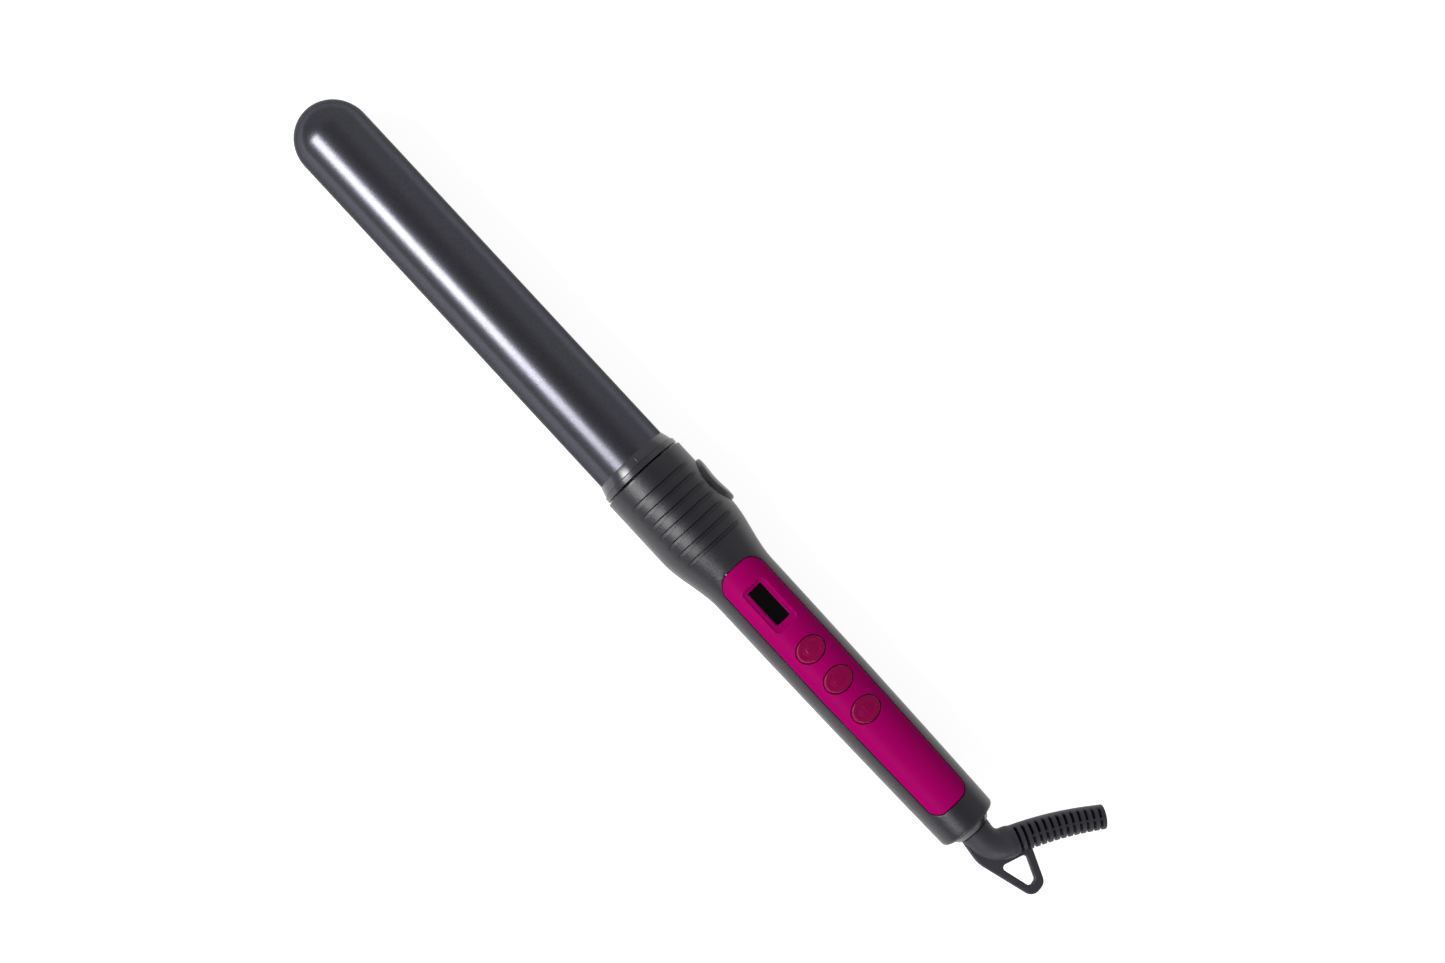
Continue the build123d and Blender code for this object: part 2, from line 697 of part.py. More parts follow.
# Upper shell: finger grooves, panel pocket, openings for display and buttons, bosses.
with BuildPart() as front_shell:
    add(case.part)
    split(bisect_by=Plane.XY, keep=Keep.TOP)
    for index in range(GROOVE_COUNT):
        groove_x = GROOVE_FIRST - GROOVE_PITCH * index
        with BuildSketch(Plane.YZ.offset(groove_x)):
            Circle(2 * NECK_RADIUS)
            with Locations((0, -GROOVE_OFFSET)):
                Circle(outer_radius(groove_x) + GROOVE_FLAT, mode=Mode.SUBTRACT)
        extrude(amount=GROOVE_WIDTH / 2, both=True, mode=Mode.SUBTRACT)
    add(panel_pocket.part, mode=Mode.SUBTRACT)
    for x in HOUSING_SCREW_X:
        with BuildSketch(Plane.XY):
            with Locations((x, 0)):
                Circle(BOSS_RADIUS)
        extrude(amount=outer_radius(x) - BOSS_ROOT_DEPTH)
    for x in BOARD_SCREW_X:
        with BuildSketch(Plane.XY.offset(BOARD_TOP)):
            with Locations((x, 0)):
                Circle(BOARD_BOSS_RADIUS)
        extrude(amount=outer_radius(x) - BOSS_ROOT_DEPTH - BOARD_TOP)
    with BuildSketch(Plane.XY):
        with Locations([(x, 0) for x in HOUSING_SCREW_X]):
            Circle(SCREW_RADIUS)
    extrude(amount=SCREW_TIP, mode=Mode.SUBTRACT)
    with BuildSketch(Plane.XY.offset(BOARD_TOP)):
        with Locations([(x, 0) for x in BOARD_SCREW_X]):
            Circle(SCREW_RADIUS)
    extrude(amount=BOARD_SCREW_HOLE, mode=Mode.SUBTRACT)
    with BuildSketch(Plane.XY.offset(SWITCH_TOP)):
        with Locations((RECESS_X, 0)):
            Rectangle(BEZEL_LENGTH + 2 * PANEL_GAP, BEZEL_WIDTH + 2 * PANEL_GAP)
        with Locations([(x, 0) for x in BUTTON_X]):
            RectangleRounded(*BUTTON_OPENING, BUTTON_OPENING_CORNER)
    extrude(amount=NECK_RADIUS, mode=Mode.SUBTRACT)
front_shell.part.label = "front_shell"
export_step(front_shell.part, "parts/front_shell.step")

# Lower shell: posts with sunk screw holes and two ribs under the brush block.
with BuildPart() as rear_shell:
    add(case.part)
    split(bisect_by=Plane.XY, keep=Keep.BOTTOM)
    for x in HOUSING_SCREW_X:
        with BuildSketch(Plane.XY):
            with Locations((x, 0)):
                Circle(POST_RADIUS)
        extrude(amount=-(outer_radius(x) - BOSS_ROOT_DEPTH))
    for x in RING_X:
        with BuildSketch(Plane.XY.offset(BLOCK_BOTTOM)):
            with Locations((x, 0)):
                Rectangle(BLOCK_RIB, 2 * BLOCK_HALF)
        extrude(amount=-(outer_radius(x) - BOSS_ROOT_DEPTH + BLOCK_BOTTOM))
    with BuildSketch(Plane.XY):
        with Locations([(x, 0) for x in HOUSING_SCREW_X]):
            Circle(SCREW_RADIUS)
    extrude(amount=-NECK_RADIUS, mode=Mode.SUBTRACT)
    for x in HOUSING_SCREW_X:
        with BuildSketch(Plane.XY.offset(SCREW_SINK - outer_radius(x))):
            with Locations((x, 0)):
                Circle(SCREW_HEAD_RADIUS + SCREW_MOUTH_GAP)
        extrude(amount=-NECK_RADIUS, mode=Mode.SUBTRACT)
rear_shell.part.label = "rear_shell"
export_step(rear_shell.part, "parts/rear_shell.step")

with BuildPart() as housing_screws:
    for x in HOUSING_SCREW_X:
        seat = SCREW_SINK - outer_radius(x)
        with BuildSketch(Plane.XY.offset(seat)):
            with Locations((x, 0)):
                Circle(SCREW_RADIUS)
        extrude(amount=SCREW_TIP - seat)
        with BuildSketch(Plane.XY.offset(seat)):
            with Locations((x, 0)):
                Circle(SCREW_HEAD_RADIUS)
        extrude(amount=-SCREW_HEAD_HEIGHT)
        with BuildSketch(Plane.XY.offset(seat - SCREW_HEAD_HEIGHT)):
            with Locations((x, 0)):
                Rectangle(*SCREW_RECESS)
                Rectangle(*reversed(SCREW_RECESS))
        extrude(amount=SCREW_RECESS_DEPTH, mode=Mode.SUBTRACT)
housing_screws.part.label = "housing_screws"
export_step(housing_screws.part, "parts/housing_screws.step")

# ------------------------------------------------------------------ control panel
recess_floor_length = RECESS_LENGTH - RECESS_FLOOR_INSET[0]
recess_floor_width = RECESS_WIDTH - RECESS_FLOOR_INSET[1]
with BuildPart() as control_panel:
    add(panel_outline(0))
    extrude(amount=2 * NECK_RADIUS)
    add(handle_under_panel.part, mode=Mode.SUBTRACT)
    with BuildSketch(Plane.XY.offset(BEZEL_BOTTOM)):
        with Locations((RECESS_X, 0)):
            Rectangle(BEZEL_LENGTH, BEZEL_WIDTH)
    extrude(amount=BEZEL_HEIGHT)
    add(handle_outside.part, mode=Mode.INTERSECT)
    with BuildSketch(Plane.XY.offset(RECESS_FLOOR)):
        with Locations((RECESS_X, 0)):
            RectangleRounded(recess_floor_length, recess_floor_width, RECESS_CORNER)
    extrude(amount=BEZEL_HEIGHT, taper=-RECESS_SLOPE, mode=Mode.SUBTRACT)
    with BuildSketch(Plane.XY):
        with Locations((WINDOW_X, 0)):
            Rectangle(WINDOW_LENGTH, WINDOW_WIDTH)
        with Locations([(x, 0) for x in BUTTON_X]):
            Ellipse(BUTTON_ALONG + BUTTON_GAP, BUTTON_ACROSS + BUTTON_GAP)
    extrude(amount=2 * NECK_RADIUS, mode=Mode.SUBTRACT)
control_panel.part.label = "control_panel"
export_step(control_panel.part, "parts/control_panel.step")

with BuildPart() as display_window:
    with BuildSketch(Plane.XY.offset(BEZEL_BOTTOM)):
        with Locations((WINDOW_X, 0)):
            Rectangle(WINDOW_LENGTH, WINDOW_WIDTH)
    extrude(amount=RECESS_FLOOR - BEZEL_BOTTOM)
display_window.part.label = "display_window"
export_step(display_window.part, "parts/display_window.step")

# ------------------------------------------------------------------ circuit board
board_length = BOARD_FRONT - BOARD_REAR
board_middle = (BOARD_FRONT + BOARD_REAR) / 2
with BuildPart() as circuit_board:
    with BuildSketch(Plane.XY.offset(BOARD_BOTTOM)):
        with Locations((board_middle, 0)):
            Rectangle(board_length, BOARD_WIDTH)
        with Locations((HOUSING_SCREW_X[1], 0)):
            Circle(BOSS_RADIUS + BOARD_NOTCH_GAP, mode=Mode.SUBTRACT)
        with Locations([(x, 0) for x in BOARD_SCREW_X]):
            Circle(SCREW_RADIUS, mode=Mode.SUBTRACT)
    extrude(amount=BOARD_TOP - BOARD_BOTTOM)
circuit_board.part.label = "circuit_board"
export_step(circuit_board.part, "parts/circuit_board.step")

with BuildPart() as board_screws:
    with BuildSketch(Plane.XY.offset(BOARD_BOTTOM)):
        with Locations([(x, 0) for x in BOARD_SCREW_X]):
            Circle(SCREW_RADIUS)
    extrude(amount=BOARD_SCREW_LENGTH)
    with BuildSketch(Plane.XY.offset(BOARD_BOTTOM)):
        with Locations([(x, 0) for x in BOARD_SCREW_X]):
            Circle(SCREW_HEAD_RADIUS)
    extrude(amount=-SCREW_HEAD_HEIGHT)
board_screws.part.label = "board_screws"
export_step(board_screws.part, "parts/board_screws.step")

with BuildPart() as display_module:
    with BuildSketch(Plane.XY.offset(BOARD_TOP)):
        with Locations((WINDOW_X, 0)):
            Rectangle(MODULE_LENGTH, MODULE_WIDTH)
    extrude(amount=BEZEL_BOTTOM - BOARD_TOP - MODULE_GAP)
display_module.part.label = "display_module"
export_step(display_module.part, "parts/display_module.step")

with BuildPart() as tact_switches:
    with BuildSketch(Plane.XY.offset(BOARD_TOP)):
        with Locations([(x, 0) for x in BUTTON_X]):
            Rectangle(SWITCH_SIZE, SWITCH_SIZE)
    extrude(amount=SWITCH_TOP - BOARD_TOP)
    with BuildSketch(Plane.XY.offset(SWITCH_BORE_BOTTOM)):
        with Locations([(x, 0) for x in BUTTON_X]):
            Circle(PLUNGER_RADIUS + SWITCH_BORE_GAP)
    extrude(amount=SWITCH_TOP - SWITCH_BORE_BOTTOM, mode=Mode.SUBTRACT)
tact_switches.part.label = "tact_switches"
export_step(tact_switches.part, "parts/tact_switches.step")

with BuildPart() as microcontroller:
    with BuildSketch(Plane.XY.offset(BOARD_BOTTOM)):
        with Locations((CHIP_X, 0)):
            Rectangle(CHIP_SIZE, CHIP_SIZE)
    extrude(amount=-CHIP_HEIGHT)
microcontroller.part.label = "microcontroller"
export_step(microcontroller.part, "parts/microcontroller.step")

with BuildPart() as triac:
    with BuildSketch(Plane.XY.offset(BOARD_BOTTOM)):
        with Locations((TRIAC_X, 0)):
            Rectangle(TRIAC_LENGTH, TRIAC_WIDTH)
    extrude(amount=-TRIAC_HEIGHT)
    with BuildSketch(Plane.XY.offset(BOARD_BOTTOM - TRIAC_HEIGHT)):
        with Locations((TRIAC_TAB_X, 0)):
            Rectangle(TRIAC_TAB_LENGTH, TRIAC_WIDTH)
    extrude(amount=-TRIAC_TAB_HEIGHT)
triac.part.label = "triac"
export_step(triac.part, "parts/triac.step")

with BuildPart() as film_capacitor:
    with BuildSketch(Plane.XY.offset(BOARD_BOTTOM)):
        with Locations((FILM_CAP_X, 0)):
            RectangleRounded(FILM_CAP_LENGTH, FILM_CAP_WIDTH, FILM_CAP_CORNER)
    extrude(amount=-FILM_CAP_HEIGHT)
film_capacitor.part.label = "film_capacitor"
export_step(film_capacitor.part, "parts/film_capacitor.step")

with BuildPart() as smoothing_capacitor:
    with BuildSketch(Plane.XZ):
        with Locations((ROUND_CAP_X, BOARD_BOTTOM - ROUND_CAP_RADIUS - ROUND_CAP_GAP)):
            Circle(ROUND_CAP_RADIUS)
    extrude(amount=ROUND_CAP_HALF, both=True)
smoothing_capacitor.part.label = "smoothing_capacitor"
export_step(smoothing_capacitor.part, "parts/smoothing_capacitor.step")

with BuildPart() as buzzer:
    with BuildSketch(Plane.XY.offset(BOARD_BOTTOM - SCREW_HEAD_HEIGHT - BUZZER_GAP)):
        with Locations((BUZZER_X, 0)):
            Circle(BUZZER_RADIUS)
    extrude(amount=-BUZZER_HEIGHT)
buzzer.part.label = "buzzer"
export_step(buzzer.part, "parts/buzzer.step")

# ------------------------------------------------------------------ buttons
for name, x in zip(BUTTON_NAMES, BUTTON_X):
    top_radius = outer_radius(x) + BUTTON_PROUD
    with BuildPart() as cap:
        with BuildSketch(Plane.XY.offset(FLANGE_BOTTOM)):
            with Locations((x, 0)):
                Ellipse(BUTTON_ALONG, BUTTON_ACROSS)
        extrude(amount=NECK_RADIUS)
        with BuildSketch(Plane.YZ.offset(x + BUTTON_PITCH / 2)):
            Circle(top_radius)
        extrude(amount=-BUTTON_PITCH, mode=Mode.INTERSECT)
        with BuildSketch(Plane.XY.offset(FLANGE_BOTTOM)):
            with Locations((x, 0)):
                Ellipse(BUTTON_ALONG + BUTTON_FLANGE, BUTTON_ACROSS + BUTTON_FLANGE)
        extrude(amount=FLANGE_TOP - FLANGE_BOTTOM)
        with BuildSketch(Plane.XY.offset(FLANGE_BOTTOM)):
            with Locations((x, 0)):
                Ellipse(BUTTON_ALONG - BUTTON_WALL, BUTTON_ACROSS - BUTTON_WALL)
                Circle(PLUNGER_RADIUS, mode=Mode.SUBTRACT)
        extrude(amount=BUTTON_HOLLOW, mode=Mode.SUBTRACT)
        with BuildSketch(Plane.XY.offset(FLANGE_BOTTOM)):
            with Locations((x, 0)):
                Circle(PLUNGER_RADIUS)
        extrude(amount=PLUNGER_TOP - FLANGE_BOTTOM, mode=Mode.SUBTRACT)
    cap.part.label = f"{name}_button"
    export_step(cap.part, f"parts/{name}_button.step")

    with BuildPart() as plunger:
        with BuildSketch(Plane.XY.offset(PLUNGER_BOTTOM)):
            with Locations((x, 0)):
                Circle(PLUNGER_RADIUS)
        extrude(amount=PLUNGER_TOP - PLUNGER_BOTTOM)
    plunger.part.label = f"{name}_plunger"
    export_step(plunger.part, f"parts/{name}_plunger.step")

# Release button: a domed cap in the side of the neck, with hooks that keep it in the
# shells and two wedges that spread the latch spring.
release_length = 2 * (RELEASE_RADIUS + HOOK_REACH)
release_front = LATCH_X + release_length / 2
with BuildPart() as release_hollow:
    with BuildSketch(Plane.XZ):
        with Locations((LATCH_X, 0)):
            Circle(RELEASE_RADIUS - RELEASE_WALL)
    extrude(amount=2 * NECK_RADIUS)
    with BuildSketch(Plane.YZ.offset(release_front)):
        Circle(RELEASE_TOP - RELEASE_WALL)
    extrude(amount=-release_length, mode=Mode.INTERSECT)

with BuildPart() as release_button:
    with BuildSketch(Plane.XZ):
        with Locations((LATCH_X, 0)):
            Circle(RELEASE_RADIUS)
    extrude(amount=2 * NECK_RADIUS)
    with BuildSketch(Plane.YZ.offset(release_front)):
        Circle(RELEASE_TOP)
        Circle(RELEASE_UNDERSIDE, mode=Mode.SUBTRACT)
    extrude(amount=-release_length, mode=Mode.INTERSECT)
    add(release_hollow.part, mode=Mode.SUBTRACT)
    for side in (1, -1):
        with BuildSketch(Plane.XZ.offset(HOOK_BOTTOM)):
            with Locations((LATCH_X + side * HOOK_ARM_X, 0)):
                Rectangle(HOOK_ARM, 2 * HOOK_HALF_WIDTH)
        extrude(amount=RELEASE_UNDERSIDE + HOOK_OVERLAP - HOOK_BOTTOM)
        with BuildSketch(Plane.XZ.offset(HOOK_BOTTOM)):
            with Locations((LATCH_X + side * (HOOK_ARM_X + HOOK_REACH) / 2, 0)):
                Rectangle(HOOK_REACH - HOOK_ARM_X, 2 * HOOK_HALF_WIDTH)
        extrude(amount=HOOK_TOP - HOOK_BOTTOM)
        with BuildSketch(Plane.YZ.offset(LATCH_X)):
            with BuildLine():
                Polyline(
                    (-WEDGE_ROOT, side * WEDGE_INNER[1]),
                    (-WEDGE_TIP, side * WEDGE_INNER[0]),
                    (-WEDGE_TIP, side * WEDGE_OUTER[0]),
                    (-WEDGE_ROOT, side * WEDGE_OUTER[1]),
                    close=True,
                )
            make_face()
        extrude(amount=WEDGE_HALF_WIDTH, both=True)
release_button.part.label = "release_button"
export_step(release_button.part, "parts/release_button.step")

# ------------------------------------------------------------------ barrel socket
with BuildPart() as barrel_socket:
    with BuildSketch(Plane.XZ):
        with BuildLine():
            Polyline(
                (SOCKET_FRONT, SOCKET_BORE),
                (SOCKET_FRONT, SOCKET_RADIUS),
                (SOCKET_END, SOCKET_RADIUS),
                (SOCKET_END, 0),
                (SOCKET_BORE_END, 0),
                (SOCKET_BORE_END, SOCKET_BORE),
                close=True,
            )
        make_face()
    revolve(axis=Axis.X)
    with BuildSketch(Plane.YZ.offset(SOCKET_END)):
        with PolarLocations(PIN_CIRCLE, PIN_COUNT):
            Circle(SLEEVE_RADIUS)
    extrude(amount=SOCKET_BORE_END - SOCKET_END, mode=Mode.SUBTRACT)
    for side in (1, -1):
        with BuildSketch(Plane.XY.offset(side * LATCH_SLOT_FLOOR)):
            with Locations((LATCH_X, 0)):
                Rectangle(LATCH_SLOT_WIDTH, 2 * SOCKET_RADIUS)
        extrude(amount=side * SOCKET_RADIUS, mode=Mode.SUBTRACT)
barrel_socket.part.label = "barrel_socket"
export_step(barrel_socket.part, "parts/barrel_socket.step")

with BuildPart() as socket_contacts:
    with BuildSketch(Plane.YZ.offset(SOCKET_END)):
        with PolarLocations(PIN_CIRCLE, PIN_COUNT):
            Circle(SLEEVE_RADIUS)
    extrude(amount=SOCKET_BORE_END - SOCKET_END)
    with BuildSketch(Plane.YZ.offset(SLEEVE_BORE_END)):
        with PolarLocations(PIN_CIRCLE, PIN_COUNT):
            Circle(SLEEVE_BORE)
    extrude(amount=SOCKET_BORE_END - SLEEVE_BORE_END, mode=Mode.SUBTRACT)
    with BuildSketch(Plane.YZ.offset(SLEEVE_TAIL)):
        with PolarLocations(PIN_CIRCLE, PIN_COUNT):
            Circle(SLEEVE_TAIL_RADIUS)
    extrude(amount=SOCKET_END - SLEEVE_TAIL)
socket_contacts.part.label = "socket_contacts"
export_step(socket_contacts.part, "parts/socket_contacts.step")

# Spring wire bent to a U round the socket, its legs in the shank's groove.
latch_spring = wires(
    [
        [
            (LATCH_X, -LATCH_TIP, LATCH_LEG),
            (LATCH_X, LATCH_SHOULDER, LATCH_LEG),
            (LATCH_X, LATCH_BACK, LATCH_BACK_HALF),
            (LATCH_X, LATCH_BACK, -LATCH_BACK_HALF),
            (LATCH_X, LATCH_SHOULDER, -LATCH_LEG),
            (LATCH_X, -LATCH_TIP, -LATCH_LEG),
        ]
    ],
    LATCH_WIRE,
    LATCH_BEND,
)
latch_spring.part.label = "latch_spring"
export_step(latch_spring.part, "parts/latch_spring.step")

with BuildPart() as release_spring:
    with BuildLine() as coil:
        Helix(
            pitch=(COIL_OUTER - COIL_INNER) / COIL_TURNS,
            height=COIL_OUTER - COIL_INNER,
            radius=COIL_RADIUS,
            center=(LATCH_X, -COIL_INNER, 0),
            direction=(0, -1, 0),
        )
    with BuildSketch(Plane(origin=coil.line @ 0, z_dir=coil.line % 0)):
        Circle(COIL_WIRE)
    sweep(path=coil.line, is_frenet=True)
release_spring.part.label = "release_spring"
export_step(release_spring.part, "parts/release_spring.step")

# Leads from the contact sleeves to the front of the board.
socket_leads = wires(
    [
        [
            (SLEEVE_TAIL, y, 0),
            (SLEEVE_TAIL - SOCKET_LEAD_RUN, y, 0),
            (BOARD_FRONT - PAD_INSET, pad_y, BOARD_BOTTOM - LEAD_DROP),
            (BOARD_FRONT - PAD_INSET, pad_y, BOARD_BOTTOM),
        ]
        for y, pad_y in ((PIN_CIRCLE, SOCKET_PAD_Y), (-PIN_CIRCLE, -SOCKET_PAD_Y))
    ],
    SOCKET_LEAD_RADIUS,
    SOCKET_LEAD_BEND,
)
socket_leads.part.label = "socket_leads"
export_step(socket_leads.part, "parts/socket_leads.step")

# ------------------------------------------------------------------ swivel
with BuildPart() as swivel_bush:
    add(
        turned(
            [
                (BUSH_END, BUSH_END_RADIUS),
                (GRIP_END, BUSH_FRONT_RADIUS),
                (GRIP_END, BUSH_BODY_RADIUS),
                (TAIL_WALL_START, BUSH_BODY_RADIUS),
                (TAIL_WALL_START, BUSH_FLANGE_RADIUS),
                (BUSH_FLANGE_FRONT, BUSH_FLANGE_RADIUS),
                (BUSH_FLANGE_FRONT, BUSH_SLEEVE_RADIUS),
                (BUSH_SLEEVE_FRONT, BUSH_SLEEVE_RADIUS),
            ]
        )
    )
    with BuildSketch(Plane.YZ.offset(BUSH_END)):
        Circle(BUSH_BORE)
    extrude(amount=BUSH_SLEEVE_FRONT - BUSH_END, mode=Mode.SUBTRACT)
swivel_bush.part.label = "swivel_bush"
export_step(swivel_bush.part, "parts/swivel_bush.step")

with BuildPart() as swivel_stem:
    add(
        turned(
            [
                (STEM_END, STEM_RADIUS),
                (CLIP_BACK, STEM_RADIUS),
                (CLIP_BACK, CLIP_GROOVE_RADIUS),
                (CLIP_FRONT, CLIP_GROOVE_RADIUS),
                (CLIP_FRONT, STEM_RADIUS),
                (STEM_SPIGOT_START, STEM_RADIUS),
                (STEM_SPIGOT_START, STEM_SPIGOT_RADIUS),
                (STEM_FRONT, STEM_SPIGOT_RADIUS),
            ]
        )
    )
    with BuildSketch(Plane.YZ.offset(STEM_END)):
        Circle(CORD_BORE)
    extrude(amount=STEM_FRONT - STEM_END_WALL - STEM_END, mode=Mode.SUBTRACT)
swivel_stem.part.label = "swivel_stem"
export_step(swivel_stem.part, "parts/swivel_stem.step")

with BuildPart() as slip_rings:
    for x in RING_X:
        with BuildSketch(Plane.YZ.offset(x)):
            Circle(RING_RADIUS)
            Circle(STEM_SPIGOT_RADIUS, mode=Mode.SUBTRACT)
        extrude(amount=RING_WIDTH / 2, both=True)
slip_rings.part.label = "slip_rings"
export_step(slip_rings.part, "parts/slip_rings.step")

with BuildPart() as stem_clip:
    with BuildSketch(Plane.YZ.offset(CLIP_BACK)):
        Circle(CLIP_RADIUS)
        Circle(CLIP_GROOVE_RADIUS, mode=Mode.SUBTRACT)
        Rectangle(2 * CLIP_RADIUS, CLIP_MOUTH, align=(Align.MIN, Align.CENTER), mode=Mode.SUBTRACT)
    extrude(amount=CLIP_FRONT - CLIP_BACK)
stem_clip.part.label = "stem_clip"
export_step(stem_clip.part, "parts/stem_clip.step")

block_length = STEM_FRONT - STEM_SPIGOT_START
block_middle = (STEM_FRONT + STEM_SPIGOT_START) / 2
with BuildPart() as brush_block:
    with BuildSketch(Plane.XY.offset(BLOCK_BOTTOM)):
        with Locations((block_middle, 0)):
            Rectangle(block_length, 2 * BLOCK_HALF)
    extrude(amount=BLOCK_TOP - BLOCK_BOTTOM)
brush_block.part.label = "brush_block"
export_step(brush_block.part, "parts/brush_block.step")

with BuildPart() as brushes:
    with BuildSketch(Plane.XY.offset(BLOCK_TOP)):
        with Locations([(x, 0) for x in RING_X]):
            Rectangle(BRUSH_LENGTH, BRUSH_WIDTH)
    extrude(amount=-(RING_RADIUS + BRUSH_GAP) - BLOCK_TOP)
brushes.part.label = "brushes"
export_step(brushes.part, "parts/brushes.step")

lead_z = (BLOCK_TOP + BLOCK_BOTTOM) / 2
mains_leads = wires(
    [
        [
            (STEM_FRONT, side * MAINS_STEM_Y, lead_z),
            (STEM_FRONT + MAINS_LEAD_RUN, side * MAINS_STEM_Y, lead_z),
            (BOARD_REAR + MAINS_PAD_INSET, side * MAINS_PAD_Y, BOARD_BOTTOM - LEAD_DROP),
            (BOARD_REAR + MAINS_PAD_INSET, side * MAINS_PAD_Y, BOARD_BOTTOM),
        ]
        for side in (1, -1)
    ],
    MAINS_LEAD_RADIUS,
    MAINS_LEAD_BEND,
)
mains_leads.part.label = "mains_leads"
export_step(mains_leads.part, "parts/mains_leads.step")


# ------------------------------------------------------------------ cord boot
def boot_point(out, side):
    """A point of the boot's flat plan: out beyond the handle, side towards -Y."""
    return (BOOT_START - out, -side)


def slot_plane(path, distance):
    """The plane square to the path at a distance along it, local x on the bend's inside."""
    place = path.position_at(distance, position_mode=PositionMode.LENGTH)
    heading = path.tangent_at(distance, position_mode=PositionMode.LENGTH)
    return Plane(origin=place, x_dir=(-heading.Y, heading.X, 0), z_dir=heading)


elbow_start = BOOT_START - BOOT_NECK_LENGTH
relief_arc_radius = RELIEF_ARC_LENGTH / radians(RELIEF_BEND)
relief_length = RELIEF_ARC_LENGTH + RELIEF_STRAIGHT

with BuildLine() as elbow_path:
    neck_run = Line((BOOT_START, 0), (elbow_start, 0))
    elbow_arc = JernArc(neck_run @ 1, (-1, 0), ELBOW_RADIUS, ELBOW_ANGLE)
    elbow_run = Line(elbow_arc @ 1, (elbow_arc @ 1) + (elbow_arc % 1) * ELBOW_RUN)

with BuildLine() as relief_path:
    relief_arc = JernArc(elbow_run @ 1, elbow_run % 1, relief_arc_radius, -RELIEF_BEND)
    relief_run = Line(relief_arc @ 1, (relief_arc @ 1) + (relief_arc % 1) * RELIEF_STRAIGHT)

elbow_line = elbow_path.wire()
relief_line = relief_path.wire()

# Flat hanging loop: its outline runs from the neck round the eye and into the relief.
with BuildPart() as hanging_loop:
    with BuildSketch() as loop_plan:
        with BuildLine():
            Polyline(
                boot_point(0.5, -7.3),
                boot_point(10.5, -7.9),
                boot_point(34.8, -1.0),
                boot_point(34.0, 6.3),
                boot_point(22.8, 11.2),
                boot_point(18.0, 13.2),
                boot_point(12.0, 4.0),
                boot_point(2.0, 0),
                close=True,
            )
        make_face()
        outer_corners = loop_plan.vertices().sort_by(Axis.X)[:2]
        fillet(outer_corners, radius=LOOP_CORNER)
    extrude(amount=LOOP_THICKNESS / 2, both=True)
    with BuildSketch() as eye_plan:
        with BuildLine():
            Polyline(
                boot_point(17.3, -2.6),
                boot_point(30.9, 1.1),
                boot_point(30.1, 4.3),
                boot_point(20.7, 8.4),
                close=True,
            )
        make_face()
        fillet(eye_plan.vertices(), radius=EYE_CORNER)
    extrude(amount=LOOP_THICKNESS, both=True, mode=Mode.SUBTRACT)
    fillet(hanging_loop.faces().filter_by(Axis.Z).edges(), radius=LOOP_EDGE)

with BuildPart() as cord_boot:
    with BuildSketch(Plane.YZ.offset(BOOT_START)):
        Circle(BOOT_NECK_RADIUS)
    with BuildSketch(Plane.YZ.offset(elbow_start)):
        Circle(BOOT_RADIUS)
    loft()
    with BuildSketch(Plane.YZ.offset(elbow_start)):
        Circle(BOOT_RADIUS)
    sweep(path=Wire([elbow_arc, elbow_run]))
    for fraction in RELIEF_STATIONS:
        with BuildSketch(slot_plane(relief_line, fraction * relief_length)):
            Circle(RELIEF_START_RADIUS + (RELIEF_END_RADIUS - RELIEF_START_RADIUS) * fraction)
    loft()
    for index in range(SLOT_COUNT):
        with BuildSketch(slot_plane(relief_line, SLOT_FIRST + SLOT_PITCH * index + SLOT_WIDTH / 2)):
            Circle(BOOT_RADIUS)
            Circle(RELIEF_LINER_RADIUS, mode=Mode.SUBTRACT)
            Rectangle(BOOT_RADIUS, SPINE_WIDTH, align=(Align.MIN, Align.CENTER), mode=Mode.SUBTRACT)
            for angle in WEB_ANGLES if index >= UNWEBBED_SLOTS else ():
                Rectangle(
                    BOOT_RADIUS,
                    WEB_WIDTH,
                    rotation=angle,
                    align=(Align.MIN, Align.CENTER),
                    mode=Mode.SUBTRACT,
                )
        extrude(amount=SLOT_WIDTH / 2, both=True, mode=Mode.SUBTRACT)
    add(hanging_loop.part)
    with BuildSketch(Plane.YZ.offset(BOOT_START)):
        Circle(CORD_BORE)
    sweep(path=Wire([neck_run, elbow_arc, elbow_run, relief_arc, relief_run]), mode=Mode.SUBTRACT)
    with BuildSketch(Plane.YZ.offset(BOOT_START)):
        Circle(STEM_RADIUS)
    extrude(amount=STEM_END - BOOT_START, mode=Mode.SUBTRACT)
cord_boot.part.label = "cord_boot"
export_step(cord_boot.part, "parts/cord_boot.step")
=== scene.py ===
import json
from math import acos, asin, atan2, cos, hypot, pi, radians, sin, tan

import bpy
import numpy as np
from mathutils import Matrix, Vector
from mathutils.geometry import delaunay_2d_cdt
from mathutils.kdtree import KDTree


